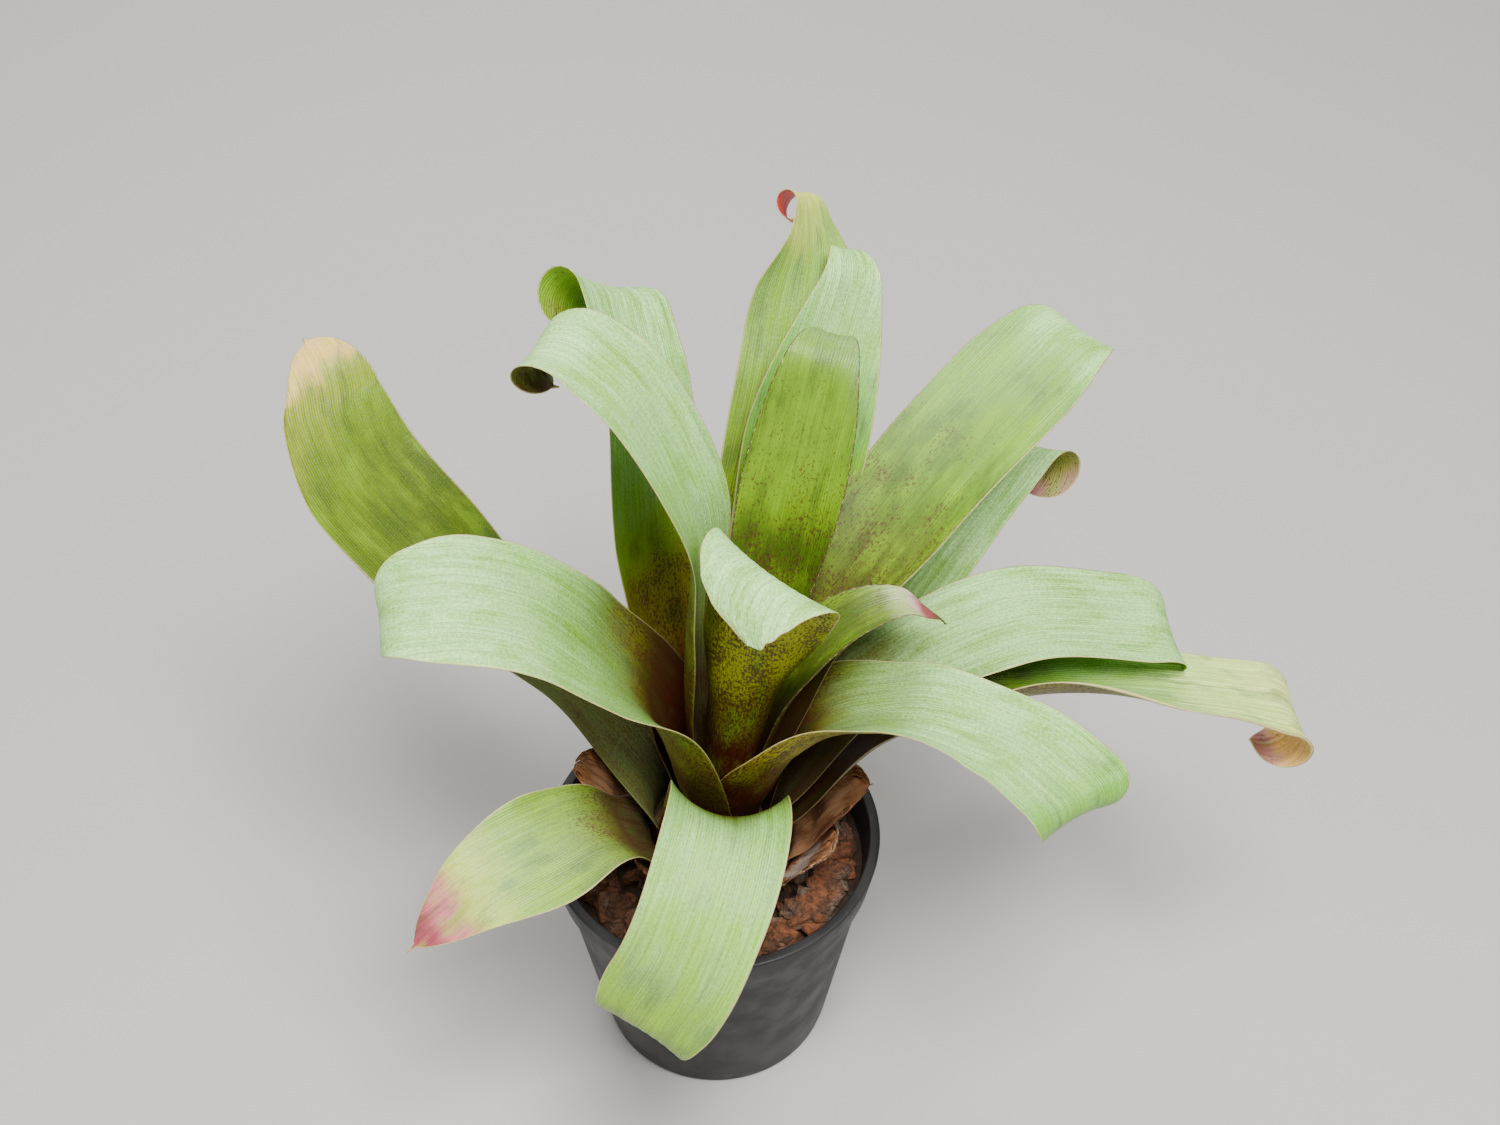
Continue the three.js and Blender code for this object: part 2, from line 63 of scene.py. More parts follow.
# Pot: a tapered nursery pot, moulded in one shot of matt black plastic, with a thicker band and a
# rolled lip at the rim and six drain holes in the floor. Sizes are in millimetres.
POT_HEIGHT = 92
RIM_RADIUS = 55
FOOT_RADIUS = 39
WALL = 1.8
FLOOR = 2.4
RIM_BAND = 13
RIM_STEP = 1.7
STEP_ROUNDING = 0.6
LIP_OUTSIDE = 0.9
LIP_INSIDE = 0.7
FOOT_HOLLOW = 1.0
FOOT_RING = 6
HEEL_ROUNDING = 2
POT_TAPER = (RIM_RADIUS - RIM_STEP - FOOT_RADIUS) / POT_HEIGHT
POT_SIDES = 120
DRAIN_HOLES = 6
DRAIN_RADIUS = 3.5
DRAIN_CIRCLE = 27
DRAIN_SIDES = 32
POT_CREASE = math.radians(35)
POT_BLACK = (30, 30, 31)
POT_SCUFF = (74, 74, 72)
LIME_DUST = (132, 126, 116)

# Marks to the metre on the pot's skin, and how high its grain stands, in metres.
POT_SCUFFS = 260
POT_DUST = 45
POT_SHEEN = 90
POT_GRAIN = 2400
POT_GRAIN_HEIGHT = 0.00006


def shade(red, green, blue):
    """A colour as a screen shows it, 0 to 255, as the linear colour that a shader takes."""
    parts = [c / 255 for c in (red, green, blue)]
    return [c / 12.92 if c <= 0.04045 else ((c + 0.055) / 1.055) ** 2.4 for c in parts] + [1.0]


def wire(tree, kind, sockets, **settings):
    """One shader node: settings are its own fields, sockets its inputs, as links or as values."""
    node = tree.nodes.new("ShaderNode" + kind)
    for key, value in settings.items():
        setattr(node, key, value)
    for key, value in sockets.items():
        if isinstance(value, bpy.types.NodeSocket):
            tree.links.new(value, node.inputs[key])
        else:
            node.inputs[key].default_value = value
    return node


def maths(tree, operation, first, second=0.0):
    return wire(tree, "Math", {0: first, 1: second}, operation=operation).outputs[0]


def times(tree, first, second):
    return maths(tree, "MULTIPLY", first, second)


def added(tree, first, second):
    return maths(tree, "ADD", first, second)


def noise(tree, place, scale, detail=2.0, roughness=0.5):
    sockets = {"Vector": place, "Scale": scale, "Detail": detail, "Roughness": roughness}
    return wire(tree, "TexNoise", sockets).outputs["Fac"]


def between(tree, value, low, high, out_low=0.0, out_high=1.0):
    """The value's way from low to high, eased, as a share from out_low to out_high."""
    sockets = {"Value": value, 1: low, 2: high, 3: out_low, 4: out_high}
    return wire(tree, "MapRange", sockets, interpolation_type="SMOOTHSTEP").outputs[0]


def blended(tree, share, first, second):
    """Two colours mixed by a share of the second. Each is a link, or a colour as a screen shows it."""
    first, second = [shade(*c) if isinstance(c, tuple) else c for c in (first, second)]
    node = wire(tree, "Mix", {"Factor": share, 6: first, 7: second}, data_type="RGBA")
    return node.outputs[2]


def new_finish(name, **sockets):
    """An empty finish and its shader, with what is the same all over set on the shader itself."""
    finish = bpy.data.materials.new(name)
    finish.use_nodes = True
    shader = finish.node_tree.nodes["Principled BSDF"]
    for key, value in sockets.items():
        shader.inputs[key.replace("_", " ")].default_value = value
    return finish, finish.node_tree, shader


def raised(tree, shader, height, distance):
    """Lets the shader see a fine relief, as high in metres as distance says."""
    bump = wire(tree, "Bump", {"Height": height, "Distance": distance, "Strength": 1.0})
    tree.links.new(bump.outputs[0], shader.inputs["Normal"])


def piece_from(name, mesh_maker, finish):
    """A new piece in metres from a bmesh in millimetres, smooth all over."""
    mesh = bpy.data.meshes.new(name)
    mesh_maker.to_mesh(mesh)
    mesh_maker.free()
    mesh.transform(((MM, 0, 0, 0), (0, MM, 0, 0), (0, 0, MM, 0), (0, 0, 0, 1)))
    mesh.polygons.foreach_set("use_smooth", [True] * len(mesh.polygons))
    mesh.materials.append(finish)
    piece = bpy.data.objects.new(name, mesh)
    bpy.context.scene.collection.objects.link(piece)
    return piece


def pot_outside(z):
    return FOOT_RADIUS + POT_TAPER * z


def rounded(centre_r, centre_z, radius, start, end, steps):
    """Points of a rounding in the pot's profile, by its centre, radius and angles in degrees."""
    angles = np.radians(np.linspace(start, end, steps))
    return [(centre_r + radius * math.cos(a), centre_z + radius * math.sin(a)) for a in angles]


def pot_profile():
    """Half of the pot's section: from under the foot up the outside, and down the inside."""
    band_foot = POT_HEIGHT - RIM_BAND
    shoulder = pot_outside(band_foot)
    inner_rim = pot_outside(POT_HEIGHT) - WALL
    foot = [(0, FOOT_HOLLOW), (FOOT_RADIUS - FOOT_RING, FOOT_HOLLOW)]
    foot += [(FOOT_RADIUS - 5.2, 0.1), (FOOT_RADIUS - 4.8, 0)]
    foot += rounded(FOOT_RADIUS - HEEL_ROUNDING, HEEL_ROUNDING, HEEL_ROUNDING, -90, -10, 6)
    wall = [(pot_outside(z), z) for z in (6, 25, 50, band_foot - 2)]
    step = [(shoulder, band_foot - 0.8), (shoulder + 0.25, band_foot - 0.2)]
    step += [(shoulder + RIM_STEP - 0.6, band_foot)]
    step += rounded(shoulder + RIM_STEP - 0.5, band_foot + 0.7, STEP_ROUNDING, -80, 0, 4)
    lip = rounded(RIM_RADIUS - LIP_OUTSIDE, POT_HEIGHT - LIP_OUTSIDE, LIP_OUTSIDE, 0, 90, 6)
    lip += rounded(inner_rim + LIP_INSIDE, POT_HEIGHT - LIP_INSIDE, LIP_INSIDE, 90, 180, 5)
    inside = [(pot_outside(z) - WALL, z) for z in (POT_HEIGHT - 4, 60, 30, 6)]
    inside += rounded(pot_outside(0) - WALL - 2, FLOOR + 2, 2, 0, -90, 5)
    return foot + wall + step + lip + inside + [(0, FLOOR)]


def pot_mesh():
    """The pot's profile turned about its axis, before its drain holes are cut."""
    pot = bmesh.new()
    profile = [pot.verts.new((r, 0, z)) for r, z in pot_profile()]
    edges = [pot.edges.new(pair) for pair in zip(profile, profile[1:])]
    turn = {"cent": (0, 0, 0), "axis": (0, 0, 1), "angle": 2 * math.pi, "steps": POT_SIDES}
    bmesh.ops.spin(pot, geom=profile + edges, use_merge=True, **turn)
    bmesh.ops.remove_doubles(pot, verts=pot.verts, dist=1e-4)
    bmesh.ops.recalc_face_normals(pot, faces=pot.faces)
    return pot


def pot_finish():
    """Matt black plastic: a fine moulded grain, handling scuffs, and lime dust from watering."""
    finish, tree, shader = new_finish("pot_black_plastic", Roughness=0.55)
    place = wire(tree, "TexCoord", {}).outputs["Object"]
    height = wire(tree, "SeparateXYZ", {0: place}).outputs["Z"]
    scuffs = between(tree, noise(tree, place, POT_SCUFFS, 6, 0.7), 0.58, 0.74)
    dust = noise(tree, place, POT_DUST, 5, 0.6)
    low_down = between(tree, height, 0.035, 0.0, 0.0, 0.22)
    dust = times(tree, between(tree, dust, 0.45, 0.75), added(tree, low_down, 0.05))
    colour = blended(tree, times(tree, scuffs, 0.3), POT_BLACK, POT_SCUFF)
    tree.links.new(blended(tree, dust, colour, LIME_DUST), shader.inputs["Base Color"])
    roughness = between(tree, noise(tree, place, POT_SHEEN, 4), 0.3, 0.7, 0.48, 0.68)
    tree.links.new(roughness, shader.inputs["Roughness"])
    raised(tree, shader, noise(tree, place, POT_GRAIN, 2), POT_GRAIN_HEIGHT)
    return finish


pot = piece_from("nursery_pot", pot_mesh(), pot_finish())
for k in range(DRAIN_HOLES):
    turn = 2 * math.pi * (k + 0.5) / DRAIN_HOLES
    spot = Vector((DRAIN_CIRCLE * math.cos(turn), DRAIN_CIRCLE * math.sin(turn), FLOOR / 2)) * MM
    size = {"vertices": DRAIN_SIDES, "radius": DRAIN_RADIUS * MM, "depth": 4 * FLOOR * MM}
    bpy.ops.mesh.primitive_cylinder_add(location=spot, **size)
    drill = bpy.context.object
    cut = pot.modifiers.new("drain_hole", "BOOLEAN")
    cut.object = drill
    cut.operation = "DIFFERENCE"
    cut.solver = "EXACT"
    bpy.context.view_layer.update()
    drilled = bpy.data.meshes.new_from_object(pot.evaluated_get(bpy.context.evaluated_depsgraph_get()))
    pot.modifiers.clear()
    pot.data = drilled
    bpy.data.objects.remove(drill)
pot.data.set_sharp_from_angle(angle=POT_CREASE)
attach(pot, "root")
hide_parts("pot")


# Growing mix: coarse conifer bark, broken into flat chips, over a darker bed of fines.
# It is poured in round the stem and levelled by hand, so the chips lie roughly flat, turned every
# way.
MIX_LEVEL = 80.5
BED_RINGS = 26
BED_SIDES = 90
BED_DROP = 1.8
BED_LUMPS = 0.5
BED_SHOULDER = 8
CHIPS = 330
CHIP_LENGTHS = (6, 13)
CHIP_WIDTHS = (0.45, 0.8)
CHIP_HEIGHTS = (0.18, 0.35)
CHIP_CORNERS = 16
CHIP_BLOCKINESS = 0.35
CHIP_WEAR = 0.25
CHIP_TILT = 0.5
CHIP_CREASE = math.radians(40)
LAID_HEIGHTS = (0.4, 2.6)
SUNK_HEIGHTS = (-1.4, -0.4)
STEM_ROOM = 31
SUNK_ROOM = 22
BARK_BROWN = (104, 68, 44)
BARK_RED = (132, 78, 46)
BARK_GREY = (122, 106, 90)
BARK_DARK = (44, 29, 20)
BARK_GRAIN = 420
BARK_DUST = 130
BARK_GRAIN_HEIGHT = 0.0006
chip_luck = random.Random(11)


def bed_mesh():
    """The fines: a plug that fills the pot, lumpy on top."""
    bed = bmesh.new()
    top_radius = pot_outside(MIX_LEVEL) - WALL - 0.2
    rows = []
    for i in range(1, BED_RINGS + 1):
        radius = top_radius * i / BED_RINGS
        row = []
        for k in range(BED_SIDES):
            turn = 2 * math.pi * k / BED_SIDES
            x, y = radius * math.cos(turn), radius * math.sin(turn)
            swell = math.sin(0.9 * x + 1.3 * math.sin(0.6 * y)) * math.cos(0.8 * y)
            lump = swell + chip_luck.uniform(-0.5, 0.5)
            row.append(bed.verts.new((x, y, MIX_LEVEL - BED_DROP + BED_LUMPS * lump)))
        rows.append(row)
    foot = (pot_outside(FLOOR) - WALL - 0.4) / top_radius
    rim = rows[-1]
    for drawn_in, z in ((0.99, MIX_LEVEL - BED_SHOULDER), (foot, FLOOR + 0.3)):
        rows.append([bed.verts.new((v.co.x * drawn_in, v.co.y * drawn_in, z)) for v in rim])
    for lower, upper in zip(rows, rows[1:]):
        for k in range(BED_SIDES):
            n = (k + 1) % BED_SIDES
            bed.faces.new((lower[k], upper[k], upper[n], lower[n]))
    bed.faces.new(rows[0])
    bed.faces.new(rows[-1][::-1])
    bmesh.ops.recalc_face_normals(bed, faces=bed.faces)
    return bed


def chip_reach():
    """How far out from the middle a corner lies: mostly far, so that the chip comes out blocky."""
    return math.copysign(chip_luck.random() ** CHIP_BLOCKINESS, chip_luck.uniform(-1, 1))


def add_chip(heap, tone, centre, length):
    """One broken chip: a flat, angular block with worn edges, laid roughly flat at a random turn."""
    width = length * chip_luck.uniform(*CHIP_WIDTHS)
    size = Vector((length, width, length * chip_luck.uniform(*CHIP_HEIGHTS))) / 2
    tilt = [chip_luck.uniform(-CHIP_TILT, CHIP_TILT) for _ in range(2)]
    turn = Euler(tilt + [chip_luck.uniform(0, 2 * math.pi)])
    chip = bmesh.new()
    for _ in range(CHIP_CORNERS):
        corner = Vector((chip_reach(), chip_reach(), chip_reach()))
        chip.verts.new(Vector([c * s for c, s in zip(corner, size)]))
    bmesh.ops.convex_hull(chip, input=chip.verts)
    loose = [v for v in chip.verts if not v.link_faces]
    bmesh.ops.delete(chip, geom=loose, context="VERTS")
    worn = {"offset": CHIP_WEAR, "segments": 1, "affect": "EDGES", "clamp_overlap": True}
    bmesh.ops.bevel(chip, geom=chip.edges[:], **worn)
    bmesh.ops.triangulate(chip, faces=chip.faces)
    for vert in chip.verts:
        vert.co.rotate(turn)
        vert.co += centre
    layer = heap.verts.layers.float["chip_tone"]
    copies = {}
    for vert in chip.verts:
        copies[vert] = heap.verts.new(vert.co)
        copies[vert][layer] = tone
    for face in chip.faces:
        heap.faces.new([copies[v] for v in face.verts])
    chip.free()


def mix_mesh():
    """The bed with its chips: two in three lie on top, and the others are partly sunk in it."""
    heap = bed_mesh()
    layer = heap.verts.layers.float.new("chip_tone")
    for vert in heap.verts:
        vert[layer] = -1.0
    reach = pot_outside(MIX_LEVEL) - WALL - 1.0
    for k in range(CHIPS):
        length = chip_luck.uniform(*CHIP_LENGTHS)
        on_top = k % 3 != 0
        nearest = STEM_ROOM + length / 2 if on_top else SUNK_ROOM
        radius = math.sqrt(chip_luck.uniform(nearest**2, (reach - length / 2) ** 2))
        turn = chip_luck.uniform(0, 2 * math.pi)
        height = MIX_LEVEL + chip_luck.uniform(*(LAID_HEIGHTS if on_top else SUNK_HEIGHTS))
        centre = Vector((radius * math.cos(turn), radius * math.sin(turn), height))
        add_chip(heap, chip_luck.random(), centre, length)
    return heap


def bark_finish():
    """Bark: each chip has its own brown, with dark grain and pale dry dust. The fines are darker."""
    finish, tree, shader = new_finish("bark_chips", Roughness=0.92)
    place = wire(tree, "TexCoord", {}).outputs["Object"]
    tone = wire(tree, "Attribute", {}, attribute_name="chip_tone").outputs["Fac"]
    grain = wire(tree, "Mapping", {0: place, 3: (1, 1, 4)}).outputs[0]
    grain = noise(tree, grain, BARK_GRAIN, 6, 0.7)
    colour = blended(tree, between(tree, tone, 0.2, 0.8), BARK_BROWN, BARK_RED)
    dust = between(tree, noise(tree, place, BARK_DUST, 4), 0.5, 0.72)
    colour = blended(tree, dust, colour, BARK_GREY)
    colour = blended(tree, between(tree, grain, 0.62, 0.38, 0.0, 0.8), colour, BARK_DARK)
    colour = blended(tree, between(tree, tone, -0.2, -0.6, 0.0, 0.75), colour, BARK_DARK)
    tree.links.new(colour, shader.inputs["Base Color"])
    raised(tree, shader, grain, BARK_GRAIN_HEIGHT)
    return finish


mix = piece_from("bark_mix", mix_mesh(), bark_finish())
mix.data.set_sharp_from_angle(angle=CHIP_CREASE)
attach(mix, "root")
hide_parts("growing_mix")


# Stem: the short woody cone that the leaves grow from, with its first roots in the bark.
# It stays as packed and gets the dull fibrous skin of old leaf scars.
STEM_TAN = (122, 98, 58)
STEM_SCAR = (66, 48, 30)
SCAR_RINGS = 90
STEM_FIBRES = 120
SCAR_HEIGHT = 0.0008


def stem_finish():
    """Woody stem: tan, with darker fibres down it and the dark rings of old leaf scars across it."""
    finish, tree, shader = new_finish("stem_fibre", Roughness=0.85)
    place = wire(tree, "TexCoord", {}).outputs["Object"]
    scars = wire(tree, "Mapping", {0: place, 3: (1, 1, 9)}).outputs[0]
    scars = noise(tree, scars, SCAR_RINGS, 5, 0.6)
    fibre = wire(tree, "Mapping", {0: place, 3: (9, 9, 1)}).outputs[0]
    fibre = noise(tree, fibre, STEM_FIBRES, 4)
    colour = blended(tree, between(tree, scars, 0.42, 0.6), STEM_SCAR, STEM_TAN)
    colour = blended(tree, between(tree, fibre, 0.5, 0.75, 0.0, 0.4), colour, STEM_SCAR)
    tree.links.new(colour, shader.inputs["Base Color"])
    raised(tree, shader, scars, SCAR_HEIGHT)
    return finish


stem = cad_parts["stem"]
stem.data.materials.clear()
stem.data.materials.append(stem_finish())


# Leaves: thin leathery blades on nested sheaths, one step out and down the stem for each leaf.
# Each is a ribbon along its own spine: it hugs the crown, opens into a channel, and its tip rolls
# under. Lengths are in millimetres and angles in degrees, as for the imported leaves.
LEAN = math.radians(7)
STEM_TOP = 26
STEM_TOP_RADIUS = 4.5
SHEATH_PITCH = 1.25
SHEATH_ARC = 12
SHEATH_ARC_PER_RADIUS = 2.4
SHEATH_ARC_MAX = 46
SHEATH_RISE = 12
SHEATH_FLARE = 0.5
SHEATH_WRAP = 42
NECK = 0.82
NECK_AT = 0.28
WIDEST_AT = 0.65
TIP_FROM = 0.78
TIP_POWER = 1.8
TIP_WIDTH = 1.6
BLADE_THICKNESS = 0.85
MARGIN_THICKNESS = 0.42
ROWS_TO_TIP = 118
TIP_ROWS = 26
TIP_SHARE = 0.14
COLUMNS = 46
MARGIN_INSET = 0.7
MARGIN_ROLL = 0.35
MARGIN_ROUNDING = 0.75
HUG_UNTIL = 0.45
FREE_FROM = 1.5
LEAF_POINT = 2.0
POINT_TAPER = 0.8
STRAIGHT = [[0, 0], [1, 0]]
CURVE_STEPS = 40
STATIONS = 300

# The relief of a blade and its waves in millimetres, the share of its thickness that the tip loses,
# and the height of its finest grain in metres. RIB_WAVE is in radians to the millimetre across, and
# LEAF_SEED keeps the patterns of two leaves apart.
BUCKLE = 0.5
BUCKLE_WAVE = 17.0
SWAY = 0.3
SWAY_WAVE = 29.0
RIDGES_USUAL = [0.07, 3.4, 0.45]
TIP_THINNING = 0.45
LEAF_GRAIN_HEIGHT = 0.00014
RIB_WAVE = 7.4
LEAF_SEED = 10.0

# Leaf colours, from the dark throat to the pale blade, and those of the margins and tips. The near-black
# of the throat is partly the leaves' own wine-brown and partly painted shade in the deep cup of the crown.
THROAT_PIGMENT_AND_SHADE = (30, 16, 8)
WINE = (88, 34, 12)
UMBER = (84, 58, 22)
OLIVE = (112, 106, 26)
MOSS = (98, 124, 30)
DEEP_GREEN = (66, 92, 22)
LEAF_GREEN = (101, 151, 27)
LIME = (126, 176, 10)
LIME_PATCH = (150, 198, 24)
CELADON = (116, 180, 52)
# The pale bloom of scales, made brighter than the bloom alone, so that it also stands for painted highlights
# on the leaf ends.
BLOOM_AND_HIGHLIGHT = (198, 248, 160)
STRAW = (240, 240, 96)
CREAM_MARGIN = (224, 208, 140)
PURPLE_DASH = (78, 34, 32)
PURPLE_SPECK = (88, 50, 34)
MAROON_SPECK = (68, 26, 10)
MAUVE = (186, 126, 130)
ROSE = (176, 66, 88)
BERRY = (120, 34, 52)
PEACH = (250, 196, 110)
SCARLET = (226, 28, 10)

# What most leaves share: (share of length, colour or amount), for each face.
UPPER_USUAL = [
    (0.0, THROAT_PIGMENT_AND_SHADE), (0.18, WINE), (0.28, UMBER), (0.36, OLIVE), (0.44, MOSS),
    (0.54, LEAF_GREEN), (0.66, CELADON), (1.0, CELADON),
]
UNDER_USUAL = [
    (0.0, THROAT_PIGMENT_AND_SHADE), (0.15, WINE), (0.3, OLIVE), (0.6, MOSS), (0.85, LEAF_GREEN), (1.0, LEAF_GREEN),
]
# The bloom rises to full at the leaf ends, where it is also painted highlight.
BLOOM_AND_HIGHLIGHT_USUAL = [(0.32, 0.0), (0.46, 0.25), (0.62, 0.6), (0.82, 0.95), (1.0, 1.0)]
UPPER_SPECKS_USUAL = [(0.0, 1.0), (0.34, 0.9), (0.44, 0.55), (0.54, 0.12), (0.62, 0.0)]
UNDER_SPECKS_USUAL = [(0.0, 1.0), (0.4, 0.95), (0.7, 0.75), (1.0, 0.5)]
PATCHES_USUAL = 0.35
DASHES_USUAL = 0.1

